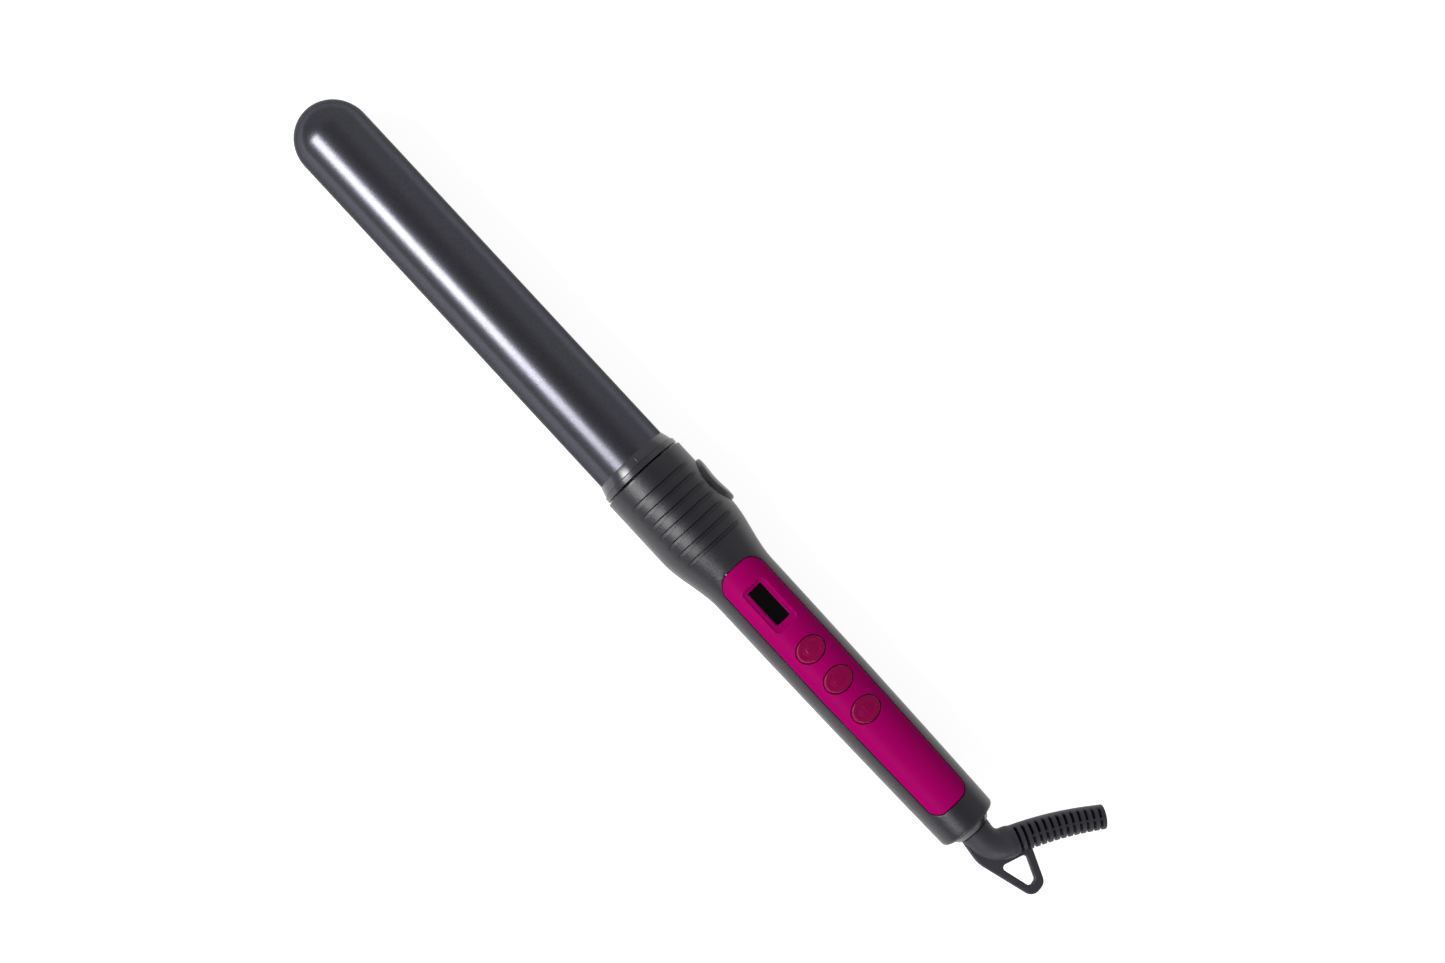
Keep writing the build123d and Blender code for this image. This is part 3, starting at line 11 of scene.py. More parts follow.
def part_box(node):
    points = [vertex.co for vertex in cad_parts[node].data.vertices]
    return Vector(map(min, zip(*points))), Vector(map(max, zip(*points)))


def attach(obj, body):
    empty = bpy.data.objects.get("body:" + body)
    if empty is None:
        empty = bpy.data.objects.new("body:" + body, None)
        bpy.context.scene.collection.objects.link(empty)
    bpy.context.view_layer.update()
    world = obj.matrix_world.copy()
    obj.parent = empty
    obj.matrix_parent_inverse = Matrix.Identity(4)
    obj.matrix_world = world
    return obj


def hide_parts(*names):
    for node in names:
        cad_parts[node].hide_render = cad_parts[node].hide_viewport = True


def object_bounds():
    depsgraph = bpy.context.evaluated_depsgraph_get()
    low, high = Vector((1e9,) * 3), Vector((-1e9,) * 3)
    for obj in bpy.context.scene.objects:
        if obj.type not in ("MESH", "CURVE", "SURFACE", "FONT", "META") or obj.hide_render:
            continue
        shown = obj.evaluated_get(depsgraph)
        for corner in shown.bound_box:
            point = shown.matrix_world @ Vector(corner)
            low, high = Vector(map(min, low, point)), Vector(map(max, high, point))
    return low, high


# A curling wand. Shapes are worked out in millimetres in the row's frame, and MM turns
# them into metres when a mesh is made. +X runs to the barrel's tip, +Z is the panel's side.
MM = 0.001

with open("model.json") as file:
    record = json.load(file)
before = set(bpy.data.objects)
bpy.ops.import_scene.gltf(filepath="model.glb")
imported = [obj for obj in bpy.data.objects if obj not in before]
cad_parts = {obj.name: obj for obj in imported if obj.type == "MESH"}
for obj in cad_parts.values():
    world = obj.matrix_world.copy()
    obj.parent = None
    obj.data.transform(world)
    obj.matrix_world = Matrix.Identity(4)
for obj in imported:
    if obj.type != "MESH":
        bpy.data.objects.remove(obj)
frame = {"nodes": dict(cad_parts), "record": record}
cad_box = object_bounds()


def node_box(name):
    """Lowest and highest corner of a CAD node, in millimetres."""
    low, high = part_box(name)
    return np.array(low) / MM, np.array(high) / MM


shell_low, shell_high = node_box("front_shell")
_, tube_high = node_box("barrel_tube")
collar_low, collar_high = node_box("barrel_collar")
panel_low, panel_high = node_box("control_panel")
window_low, window_high = node_box("display_window")
release_low, release_high = node_box("release_button")
bush_low, bush_high = node_box("swivel_bush")
_, boot_high = node_box("cord_boot")

# ------------------------------------------------------------------ sizes
NECK_FRONT = shell_high[0]
NECK_RADIUS = shell_high[1]
GRIP_END = shell_low[0]
NECK_END = NECK_FRONT - 30.8
GRIP_START = NECK_FRONT - 58.8
GRIP_START_RADIUS = 14.45
GRIP_END_RADIUS = 12.75
GRIP_BULGE = 0.28
GRIP_CORNER = 1.6
SHELL_WALL = 1.5
PART_LINE_ROUND = 0.14
PART_LINE_ROWS = (0.04, 0.14)
EDGE_ROUND = 0.2
NECK_EDGE_ROUND = 0.35
SHELL_SHARP = 40
SMALL_SHARP = 50
SCREW_MOUTH = 2.35
SCREW_MOUTH_ROUND = 0.3
SCREW_SPACING = 3.0

GROOVE_COUNT = 7
GROOVE_FIRST = NECK_FRONT - 8.9
GROOVE_PITCH = 5.05
GROOVE_HALF_WIDTH = 0.8
GROOVE_FLAT = 2.15
GROOVE_OFFSET = 3.07
GROOVE_LIP = 0.13
GROOVE_ROUND = 0.45
GROOVE_ROWS = (0, 0.35, 0.6, 0.67, 0.7, 0.735, 0.77, 0.8)
GROOVE_TIP_ROWS = (0.02, 0.05, 0.1, 0.16, 0.23, 0.31, 0.4, 0.5)
GROOVE_TAIL_ROWS = (0.86, 1.2)
GROOVE_CLEAR = 1.4

PANEL_FRONT = panel_high[0]
PANEL_REAR = panel_low[0]
PANEL_HALF_WIDTH = panel_high[1]
PANEL_TAPER_START = PANEL_FRONT - 62.3
PANEL_REAR_HALF_WIDTH = PANEL_HALF_WIDTH - 1.15
PANEL_EDGE_SAG = 1.1
PANEL_FRONT_CORNER = 5.5
PANEL_REAR_CORNER = 4.0
PANEL_GAP = 0.25
PANEL_WALL = 1.2
PANEL_EDGE_ROUND = 0.45
PANEL_TAPER_ROUND = 40.0

WINDOW_X = (window_low[0] + window_high[0]) / 2
WINDOW_LENGTH = window_high[0] - window_low[0]
WINDOW_WIDTH = window_high[1] - window_low[1]
WINDOW_FIT = 0.1
WINDOW_RIM = 0.35
WINDOW_CORNER = 0.3
WINDOW_SUNK = 0.05
RECESS_X = WINDOW_X - 0.6
RECESS_LENGTH = WINDOW_LENGTH + 4.5
RECESS_WIDTH = WINDOW_WIDTH + 4.15
RECESS_CORNER = 1.8
RECESS_LIP = 0.12
RECESS_SLOPE = 1.5
RECESS_LINES = (-0.6, -0.35, -0.15, 0, 0.15, 0.35, 0.6, 0.9, 1.2, 1.5)
RECESS_FLOOR = window_high[2]

BUTTON_NAMES = ("power", "minus", "plus")
BUTTON_ALONG = 4.9
BUTTON_ACROSS = 6.1
BUTTON_GAP = 0.32
BUTTON_PROUD = 0.3
BUTTON_RIM = 0.55
BUTTON_DISH = 0.55
BUTTON_DISH_START = 0.55
BUTTON_DISH_SLOPE = 2.2
BUTTON_SKIRT = 0.9
BUTTON_HOLE_ROUND = 0.22
BUTTON_LINES = (0, 0.05, 0.14, 0.28, 0.42, 0.55, 0.75, 1.0, 1.3)
BUTTON_FINE_STEP = 0.16
MARK_HEIGHT = 0.09

RELEASE_X = (release_low[0] + release_high[0]) / 2
RELEASE_RADIUS = release_high[2]
RELEASE_TOP = -release_low[1]
RELEASE_GAP = 0.2
RELEASE_ROUND = 1.1
RELEASE_DISH_RADIUS = 8.6
RELEASE_DISH = 1.1
RELEASE_SAG = 0.35
RELEASE_SKIRT = 3.2
RELEASE_LINES = (0, 0.08, 0.2, 0.4, 0.65, 0.9, 1.2, 1.7, 2.4)
RELEASE_INNER = 2.8

FULL_TURN = 2 * pi
TINY = 1e-6
NEARLY_STRAIGHT = 1e-3
LARGEST_CORNER = 0.49
OUTLINE_STEP = 0.6
FINE_LINE = 0.07
SHEET_CLEAR = 0.05
GRID_ALONG = 1.6
GRID_ROUND = 0.7
UNROLL = 16.0


# ------------------------------------------------------------------ handle surface
def outer_radius(x):
    """Outer radius of the handle: level neck, S-shaped shoulder, bulging grip, rounded end."""
    x = np.asarray(x, float)
    share = np.clip((NECK_END - x) / (NECK_END - GRIP_START), 0, 1)
    shoulder = NECK_RADIUS - (NECK_RADIUS - GRIP_START_RADIUS) * (3 * share**2 - 2 * share**3)
    along = np.clip((GRIP_START - x) / (GRIP_START - GRIP_END), 0, 1)
    grip = (GRIP_END_RADIUS - GRIP_START_RADIUS) * along + 4 * GRIP_BULGE * along * (1 - along)
    into_corner = np.clip(GRIP_CORNER - (x - GRIP_END), 0, GRIP_CORNER)
    corner = GRIP_CORNER - np.sqrt(GRIP_CORNER**2 - into_corner**2)
    return shoulder + grip - corner


def panel_outline(gap):
    """The panel's outline in plan, grown all round by gap, as a closed loop of (x, y)."""
    front = PANEL_FRONT + gap
    rear = PANEL_REAR - gap
    half = PANEL_HALF_WIDTH + gap
    rear_half = PANEL_REAR_HALF_WIDTH + gap
    front_side = front - PANEL_EDGE_SAG
    rear_side = rear + PANEL_EDGE_SAG
    side = [(front_side, half, PANEL_FRONT_CORNER + gap)]
    side.append((PANEL_TAPER_START, half, PANEL_TAPER_ROUND))
    side.append((rear_side, rear_half, PANEL_REAR_CORNER + gap))
    corners = side + [(x, -y, r) for x, y, r in reversed(side)]
    outline = rounded_loop(corners)
    bowed = []
    for x, y in outline:
        across = 1 - (y / half) ** 2
        reach = max(0.0, 1 - abs(x - front_side) / PANEL_FRONT_CORNER)
        tail = max(0.0, 1 - abs(x - rear_side) / PANEL_REAR_CORNER)
        bowed.append((x + PANEL_EDGE_SAG * across * (reach - tail), y))
    return even_loop(bowed, OUTLINE_STEP)


# ------------------------------------------------------------------ outlines
def corner_arc(before, here, after, radius, steps):
    """Points of the arc that rounds the corner here, between its two neighbours."""
    here = np.array(here)
    back = np.array(before) - here
    ahead = np.array(after) - here
    back_length, ahead_length = np.linalg.norm(back), np.linalg.norm(ahead)
    back, ahead = back / back_length, ahead / ahead_length
    half = acos(np.clip(np.dot(back, ahead), -1, 1)) / 2
    radius = min(radius, LARGEST_CORNER * min(back_length, ahead_length) * tan(half))
    if radius < TINY or pi / 2 - half < NEARLY_STRAIGHT:
        return [tuple(here)]
    start = here + back * radius / tan(half)
    end = here + ahead * radius / tan(half)
    middle = here + (back + ahead) / np.linalg.norm(back + ahead) * radius / sin(half)
    first = atan2(*(start - middle)[::-1])
    turn = (atan2(*(end - middle)[::-1]) - first + pi) % FULL_TURN - pi
    angles = [first + turn * i / steps for i in range(steps + 1)]
    return [(middle[0] + radius * cos(angle), middle[1] + radius * sin(angle)) for angle in angles]


def rounded_loop(corners, steps=12):
    """A closed loop from (x, y, radius) corners, each rounded by an arc."""
    loop = []
    for index, (x, y, radius) in enumerate(corners):
        before, after = corners[index - 1], corners[(index + 1) % len(corners)]
        loop += corner_arc(before[:2], (x, y), after[:2], radius, steps)
    return loop


def even_loop(loop, spacing):
    """The same closed loop with points no further apart than spacing."""
    out = []
    for index, start in enumerate(loop):
        start = np.array(start)
        end = np.array(loop[(index + 1) % len(loop)])
        parts = max(1, int(np.ceil(np.linalg.norm(end - start) / spacing)))
        for i in range(parts):
            point = start + (end - start) * i / parts
            if not out or np.linalg.norm(point - out[-1]) > 1e-3:
                out.append(tuple(point))
    return out


def ellipse_loop(x, y, half_x, half_y, count=72):
    """A closed ellipse round (x, y)."""
    angles = np.arange(count) * FULL_TURN / count
    return list(zip(x + half_x * np.cos(angles), y + half_y * np.sin(angles)))


def box_loop(x, y, length, width, corner):
    """A closed rounded rectangle round (x, y)."""
    half_x, half_y = length / 2, width / 2
    corners = [(x + half_x, y + half_y), (x - half_x, y + half_y)]
    corners += [(x - half_x, y - half_y), (x + half_x, y - half_y)]
    return even_loop(rounded_loop([(cx, cy, corner) for cx, cy in corners], 6), 0.5)


# ------------------------------------------------------------------ sheets of triangles
def distance_to(points, loop):
    """Distance from each point to the nearest segment of a closed loop."""
    points = np.asarray(points, float)
    start = np.asarray(loop, float)
    run = np.roll(start, -1, axis=0) - start
    length = (run**2).sum(1)
    found = np.empty(len(points))
    for first in range(0, len(points), 800):
        block = points[first : first + 800, None, :]
        share = np.clip(((block - start) * run).sum(2) / length, 0, 1)
        gap = block - (start + share[..., None] * run)
        found[first : first + 800] = np.sqrt((gap**2).sum(2).min(1))
    return found


def inside(points, loop):
    """True for each point inside a closed loop."""
    points = np.asarray(points, float)
    start = np.asarray(loop, float)
    end = np.roll(start, -1, axis=0)
    found = np.zeros(len(points), bool)
    for (ax, ay), (bx, by) in zip(start, end):
        if ay == by:
            continue
        between = (ay > points[:, 1]) != (by > points[:, 1])
        cross = ax + (points[:, 1] - ay) * (bx - ax) / (by - ay)
        found ^= between & (points[:, 0] < cross)
    return found


def triangles(free, loops, holes, clear):
    """Delaunay triangles inside loops[0] and outside every hole, with edges along all loops."""
    tree = KDTree(sum(len(loop) for loop in loops))
    coords, edges = [], []
    for loop in loops:
        first = len(coords)
        count = len(loop)
        edges += [(first + i, first + (i + 1) % count) for i in range(count)]
        coords += [Vector(point) for point in loop]
    for index, point in enumerate(coords):
        tree.insert((point[0], point[1], 0), index)
    tree.balance()
    free = [p for p in free if tree.find((p[0], p[1], 0))[2] > clear]
    coords += [Vector(point) for point in free]
    points, _, faces, *_ = delaunay_2d_cdt(coords, edges, [], 0, 1e-7, False)
    points = np.array([tuple(p) for p in points])
    faces = np.array([f[:3] for f in faces])
    middle = points[faces].mean(axis=1)
    kept = inside(middle, loops[0])
    for hole in holes:
        kept &= ~inside(middle, hole)
    faces = faces[kept]
    used = np.unique(faces)
    renumber = np.full(len(points), -1)
    renumber[used] = np.arange(len(used))
    return points[used], renumber[faces]


def rounding(distance, radius):
    """How far a surface drops at a distance from its rounded edge."""
    into = np.clip(radius - distance, 0, radius)
    return radius - np.sqrt(radius**2 - into**2)


def grid(low_x, high_x, low_y, high_y, step_x, step_y):
    """Evenly spaced points over a rectangle, edges left out."""
    xs = np.linspace(low_x, high_x, max(2, int((high_x - low_x) / step_x)) + 1)[1:-1]
    ys = np.linspace(low_y, high_y, max(2, int((high_y - low_y) / step_y)) + 1)[1:-1]
    return [(x, y) for x in xs for y in ys]


# ------------------------------------------------------------------ mesh helpers
def make_piece(name, points, faces, material, body, nodes=(), sharp=32, solidify=0.0):
    """A smooth mesh piece from points in millimetres that rides on a body."""
    mesh = bpy.data.meshes.new(name)
    mesh.from_pydata([tuple(p) for p in np.asarray(points) * MM], [], [tuple(f) for f in faces])
    mesh.validate()
    mesh.shade_smooth()
    mesh.set_sharp_from_angle(angle=radians(sharp))
    mesh.materials.append(material)
    piece = bpy.data.objects.new(name, mesh)
    bpy.context.scene.collection.objects.link(piece)
    if solidify:
        modifier = piece.modifiers.new("wall", "SOLIDIFY")
        modifier.thickness = solidify * MM
        modifier.offset = -1
        modifier.use_even_offset = True
        modifier.thickness_clamp = 0
    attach(piece, body)
    if nodes:
        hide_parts(*nodes)
    return piece


def outward(points, faces, centre_of):
    """The faces, each turned so that its normal points away from centre_of(its middle)."""
    points, faces = np.asarray(points), np.asarray(faces)
    a, b, c = points[faces[:, 0]], points[faces[:, 1]], points[faces[:, 2]]
    normal = np.cross(b - a, c - a)
    middle = (a + b + c) / 3
    away = middle - np.array([centre_of(m) for m in middle])
    wrong = (normal * away).sum(1) < 0
    faces = faces.copy()
    faces[wrong] = faces[wrong][:, ::-1]
    return faces


def on_axis(point):
    return (point[0], 0, 0)


def rounded_profile(corners, steps=5):
    """An open (x, radius) profile from (x, radius, rounding) corners."""
    profile = [corners[0][:2]]
    for before, here, after in zip(corners, corners[1:], corners[2:]):
        profile += corner_arc(before[:2], here[:2], after[:2], here[2], steps)
    profile.append(corners[-1][:2])
    return profile


def strip(rings, count, flipped=False):
    """Faces between neighbouring rings of count points each."""
    faces = []
    for ring in range(rings - 1):
        low, high = ring * count, (ring + 1) * count
        for i in range(count):
            j = (i + 1) % count
            if flipped:
                faces.append((low + i, high + i, high + j, low + j))
            else:
                faces.append((low + i, low + j, high + j, high + i))
    return faces


def lathe(profile, segments=160):
    """Points and faces of an (x, radius) profile turned about the X axis."""
    points, faces, rings = [], [], []
    for x, radius in profile:
        if radius < 1e-6:
            rings.append([len(points)] * segments)
            points.append((x, 0, 0))
            continue
        rings.append(list(range(len(points), len(points) + segments)))
        for i in range(segments):
            angle = FULL_TURN * i / segments
            points.append((x, radius * sin(angle), radius * cos(angle)))
    for low, high in zip(rings, rings[1:]):
        for i in range(segments):
            j = (i + 1) % segments
            face = []
            for index in (low[i], low[j], high[j], high[i]):
                if index not in face:
                    face.append(index)
            if len(face) > 2:
                faces.append(face)
    return points, faces


# ------------------------------------------------------------------ materials
def shader(name):
    """A new material with its node tree, Principled shader and object coordinates."""
    material = bpy.data.materials.new(name)
    material.use_nodes = True
    tree = material.node_tree
    surface = tree.nodes["Principled BSDF"]
    place = tree.nodes.new("ShaderNodeTexCoord")
    return material, tree, surface, place.outputs["Object"]


def noise(tree, place, scale, detail=2.0, roughness=0.5):
    texture = tree.nodes.new("ShaderNodeTexNoise")
    texture.inputs["Scale"].default_value = scale
    texture.inputs["Detail"].default_value = detail
    texture.inputs["Roughness"].default_value = roughness
    tree.links.new(place, texture.inputs["Vector"])
    return texture.outputs["Fac"]


def cells(tree, place, scale):
    texture = tree.nodes.new("ShaderNodeTexVoronoi")
    texture.inputs["Scale"].default_value = scale
    tree.links.new(place, texture.inputs["Vector"])
    return texture.outputs["Color"]


def remap(tree, value, low, high, new_low, new_high):
    node = tree.nodes.new("ShaderNodeMapRange")
    sockets = ("From Min", "From Max", "To Min", "To Max")
    for socket, number in zip(sockets, (low, high, new_low, new_high)):
        node.inputs[socket].default_value = number
    tree.links.new(value, node.inputs["Value"])
    return node.outputs["Result"]


def blend_colours(tree, share, first, second):
    node = tree.nodes.new("ShaderNodeMix")
    node.data_type = "RGBA"
    for socket, colour in (("A", first), ("B", second)):
        if isinstance(colour, tuple):
            node.inputs[socket].default_value = (*colour, 1)
        else:
            tree.links.new(colour, node.inputs[socket])
    tree.links.new(share, node.inputs["Factor"])
    return node.outputs["Result"]


def bump(tree, height, strength, distance):
    node = tree.nodes.new("ShaderNodeBump")
    node.inputs["Strength"].default_value = strength
    node.inputs["Distance"].default_value = distance
    tree.links.new(height, node.inputs["Height"])
    return node.outputs["Normal"]


def moulded(name, colour, vary, roughness, rough_vary, grain_scale, grain_depth, spec=0.5):
    """Moulded plastic: slow colour drift, patchy roughness and a fine moulded grain."""
    material, tree, surface, place = shader(name)
    drift = remap(tree, noise(tree, place, 35, 3), 0.3, 0.7, 0, 1)
    darker = tuple(c * (1 - vary) for c in colour)
    lighter = tuple(min(1, c * (1 + vary)) for c in colour)
    tree.links.new(blend_colours(tree, drift, darker, lighter), surface.inputs["Base Color"])
    cloud = noise(tree, place, 110, 4, 0.6)
    patches = remap(tree, cloud, 0.25, 0.75, roughness - rough_vary, roughness + rough_vary)
    tree.links.new(patches, surface.inputs["Roughness"])
    grain = noise(tree, place, grain_scale, 2, 0.6)
    tree.links.new(bump(tree, grain, 0.35, grain_depth * MM), surface.inputs["Normal"])
    surface.inputs["Specular IOR Level"].default_value = spec
    return material


def sparkle_coat(name, colour, metallic, roughness, flake_scale, flake_tilt, spec):
    """Coating full of tiny metal flakes, each tilted its own way, under a thin clear layer."""
    material, tree, surface, place = shader(name)
    flakes = cells(tree, place, flake_scale)
    split = tree.nodes.new("ShaderNodeSeparateColor")
    tree.links.new(flakes, split.inputs["Color"])
    dark = tuple(c * 0.88 for c in colour)
    light = tuple(min(1, c * 1.18) for c in colour)
    tree.links.new(blend_colours(tree, split.outputs["Red"], dark, light), surface.inputs["Base Color"])
    wear = noise(tree, place, 60, 4, 0.6)
    worn = remap(tree, wear, 0.3, 0.7, roughness - 0.012, roughness + 0.014)
    tree.links.new(worn, surface.inputs["Roughness"])
    tilt = bump(tree, split.outputs["Green"], flake_tilt, 0.02 * MM)
    tree.links.new(tilt, surface.inputs["Normal"])
    surface.inputs["Metallic"].default_value = metallic
    surface.inputs["Specular IOR Level"].default_value = spec
    surface.inputs["Specular Tint"].default_value = (0.15, 0.15, 0.18, 1)
    surface.inputs["Coat Weight"].default_value = 0.15
    surface.inputs["Coat Roughness"].default_value = 0.22
    return material


def brushed_metal(name, colour, roughness):
    """Plated or drawn metal with fine streaks along X."""
    material, tree, surface, place = shader(name)
    stretch = tree.nodes.new("ShaderNodeMapping")
    stretch.inputs["Scale"].default_value = (0.08, 1, 1)
    tree.links.new(place, stretch.inputs["Vector"])
    streaks = noise(tree, stretch.outputs["Vector"], 2600, 3, 0.6)
    dark = tuple(c * 0.8 for c in colour)
    tree.links.new(blend_colours(tree, streaks, dark, colour), surface.inputs["Base Color"])
    worn = remap(tree, streaks, 0.3, 0.7, roughness - 0.06, roughness + 0.1)
    tree.links.new(worn, surface.inputs["Roughness"])
    tree.links.new(bump(tree, streaks, 0.2, 0.01 * MM), surface.inputs["Normal"])
    surface.inputs["Metallic"].default_value = 1.0
    return material


BARREL_COAT = sparkle_coat("barrel_coating_look", (0.064, 0.064, 0.077), 0.9, 0.27, 2600, 0.2, 0.5)
COLLAR_LOOK = moulded("collar_look", (0.016, 0.016, 0.020), 0.12, 0.22, 0.03, 1500, 0.006, spec=0.6)
CASE_LOOK = moulded("case_look", (0.0098, 0.0086, 0.0124), 0.12, 0.35, 0.04, 1500, 0.2, spec=0.42)
RELEASE_LOOK = moulded("release_look", (0.011, 0.011, 0.014), 0.12, 0.25, 0.04, 1500, 0.006, spec=0.6)
PANEL_LOOK = moulded("panel_look", (0.215, 0.0, 0.070), 0.05, 0.36, 0.05, 1400, 0.008, spec=0.012)
BUTTON_LOOK = moulded("button_look", (0.15, 0.0, 0.034), 0.08, 0.28, 0.05, 1400, 0.008, spec=0.12)
WINDOW_LOOK = moulded("window_look", (0.001, 0.001, 0.001), 0.3, 0.12, 0.03, 900, 0.002, spec=0.1)
BUSH_LOOK = moulded("bush_look", (0.016, 0.016, 0.020), 0.12, 0.24, 0.04, 1500, 0.006, spec=0.8)
BOOT_LOOK = moulded("boot_look", (0.019, 0.0175, 0.0235), 0.12, 0.5, 0.06, 1700, 0.03, spec=0.3)
# Liner: a real cord sleeve, but coloured near-black, far darker than the boot, as painted shade at the
# bottom of the slots.
LINER_PAINTED_SHADE_LOOK = moulded("liner_painted_shade_look", (0.0015, 0.0015, 0.002), 0.3, 0.6, 0.08, 1700, 0.03, spec=0.1)
STEEL_LOOK = brushed_metal("steel_look", (0.52, 0.52, 0.54), 0.28)


def slot_look(entry):
    """A procedural material for a material slot that only inner nodes use."""
    name = entry["slot"] + "_inner"
    colour = tuple(entry["base_color"][:3])
    if entry["class"] in ("brushed_steel", "aluminium", "brass", "chrome"):
        return brushed_metal(name, colour, 0.3)
    return moulded(name, colour, 0.15, 0.5, 0.1, 1500, 0.01)


slot_of = {entry["node"]: entry["material_slot"] for entry in frame["record"]["subparts"]}
inner_looks = {entry["slot"]: slot_look(entry) for entry in frame["record"]["materials"]}
for node_name, node in frame["nodes"].items():
    node.data.materials.clear()
    node.data.materials.append(inner_looks[slot_of[node_name]])
frame["nodes"]["housing_screws"].data.materials[0] = STEEL_LOOK


# ------------------------------------------------------------------ barrel and collar
COLLAR_FRONT_RADIUS = 16.3
COLLAR_CONE_RADIUS = 17.4
COLLAR_CONE = 3.95
COLLAR_STEP = 0.2
COLLAR_BORE = 11.4


def make_barrel():
    """The coated tube with its domed tip, from inside the collar to the tip."""
    radius = tube_high[1]
    tip = tube_high[0]
    step, tucked, first = 0.35, 0.6, 2.0
    profile = [(-tucked, radius - step), (0.0, radius - step), (0.0, radius)]
    profile += [(x, radius) for x in np.linspace(first, tip - radius, 40)]
    dome_steps = 48
    for i in range(1, dome_steps + 1):
        angle = pi / 2 * i / dome_steps
        profile.append((tip - radius + radius * sin(angle), radius * cos(angle) if i < dome_steps else 0.0))
    points, faces = lathe(profile, 192)
    make_piece("barrel_skin", points, faces, BARREL_COAT, "barrel", ["barrel_tube"])


def make_collar():
    """The collar's cone and ring, with rounded lips and a shadow gap between them."""
    end = collar_low[0]
    ring_radius = collar_high[1]
    lip, ring_lip, waist = 0.15, 0.35, 0.12
    corners = [
        (0.0, tube_high[1] - 2 * lip, 0),
        (0.0, COLLAR_FRONT_RADIUS, lip),
        (-COLLAR_CONE, COLLAR_CONE_RADIUS, lip),
        (-COLLAR_CONE - COLLAR_STEP, COLLAR_CONE_RADIUS - waist, lip / 3),
        (-COLLAR_CONE - 2 * COLLAR_STEP, ring_radius, COLLAR_STEP),
        (end, ring_radius, ring_lip),
        (end, COLLAR_BORE, 0),
    ]
    points, faces = lathe(rounded_profile(corners), 192)
    make_piece("collar_ring", points, faces, COLLAR_LOOK, "barrel", ["barrel_collar"])


def make_tick():
    """The raised index line on the collar's cone, a bar with rounded top and ends."""
    length, width, height = 2.3, 0.55, 0.28
    front_x, sunk = -0.9, 0.15
    cone_rise = (COLLAR_CONE_RADIUS - COLLAR_FRONT_RADIUS) / COLLAR_CONE
    loop = box_loop(0, 0, length, width, width / 2)
    rings, points = [(0, 0.0), (0, 0.6), (0.08, 0.9), (0.2, 1.0)], []
    count = len(loop)
    for inset, rise in rings:
        for x, y in loop:
            shrink = 1 - inset / (width / 2)
            along = np.sign(x) * max(0, abs(x) - inset)
            px = front_x - length / 2 + along
            base = COLLAR_FRONT_RADIUS - cone_rise * px - sunk
            points.append((px, y * shrink, base + (height + sunk) * rise))
    faces = strip(len(rings), count)
    faces.append(tuple((len(rings) - 1) * count + i for i in range(count)))
    make_piece("index_tick", points, faces, COLLAR_LOOK, "barrel", sharp=SMALL_SHARP)


# ------------------------------------------------------------------ handle shells
def groove_drop(x, angle):
    """Depth of the finger grooves at x and at an angle from +Z, both arrays."""
    radius = outer_radius(x)
    floor_radius = radius + GROOVE_FLAT
    reach = np.sqrt(np.maximum(0, floor_radius**2 - (GROOVE_OFFSET * np.sin(angle)) ** 2))
    floor = -GROOVE_OFFSET * np.cos(angle) + reach
    depth = np.maximum(0, radius - floor)
    drop = np.zeros_like(x)
    for index in range(GROOVE_COUNT):
        away = np.abs(x - (GROOVE_FIRST - GROOVE_PITCH * index))
        share = np.clip((GROOVE_HALF_WIDTH - away) / GROOVE_LIP, 0, 1)
        drop = np.maximum(drop, depth * share**2 * (3 - 2 * share))
        before = x - (GROOVE_FIRST - GROOVE_PITCH * index) - GROOVE_HALF_WIDTH
        rounded = rounding(np.where(before > -0.01, before, GROOVE_ROUND), GROOVE_ROUND)
        drop = np.maximum(drop, np.minimum(depth, rounded))
    return drop


def release_hole(extra):
    """The release button's hole in the unrolled shell, as a closed loop of (x, arc length)."""
    radius = RELEASE_RADIUS + RELEASE_GAP + extra
    loop = []
    for i in range(120):
        angle = FULL_TURN * i / 120
        x = RELEASE_X + radius * cos(angle)
        z = radius * sin(angle)
        loop.append((x, UNROLL * (-pi / 2 + asin(z / float(outer_radius(x))))))
    return loop


def pocket_loop(gap):
    """The panel pocket's outline in the unrolled shell."""
    return [(x, UNROLL * asin(y / float(outer_radius(x)))) for x, y in panel_outline(gap)]


def shell_rows(low, high):
    """Row positions along X: even over the grip, close together at grooves and at the ends."""
    rows = list(np.arange(GRIP_END, NECK_FRONT, GRID_ALONG))
    for index in range(GROOVE_COUNT):
        middle = GROOVE_FIRST - GROOVE_PITCH * index
        rows = [x for x in rows if abs(x - middle) > GROOVE_CLEAR]
        rows += [middle + GROOVE_HALF_WIDTH + away for away in GROOVE_TIP_ROWS]
        rows += [middle + side * away for away in GROOVE_ROWS for side in (-1, 1)]
        rows += [middle - away for away in GROOVE_TAIL_ROWS]
    rows = [x for x in rows if low < x < high and x > GRIP_END + GRIP_CORNER and x < NECK_FRONT - 0.5]
    rows += [GRIP_END + GRIP_CORNER * share for share in (0.02, 0.07, 0.15, 0.28, 0.45, 0.7, 1)]
    rows += [NECK_FRONT - away for away in (0.03, 0.1, 0.2, 0.35)]
    return sorted(set(rows))


def make_shell(name, points, faces, radius, node):
    """A wall from unrolled (x, arc length) points and the radius at each."""
    x, angle = points[:, 0], points[:, 1] / UNROLL
    radius = radius - rounding(NECK_FRONT - x, NECK_EDGE_ROUND)
    solid = np.stack([x, radius * np.sin(angle), radius * np.cos(angle)], 1)
    faces = outward(solid, faces, on_axis)
    make_piece(name, solid, faces, CASE_LOOK, "handle", [node], SHELL_SHARP, SHELL_WALL)


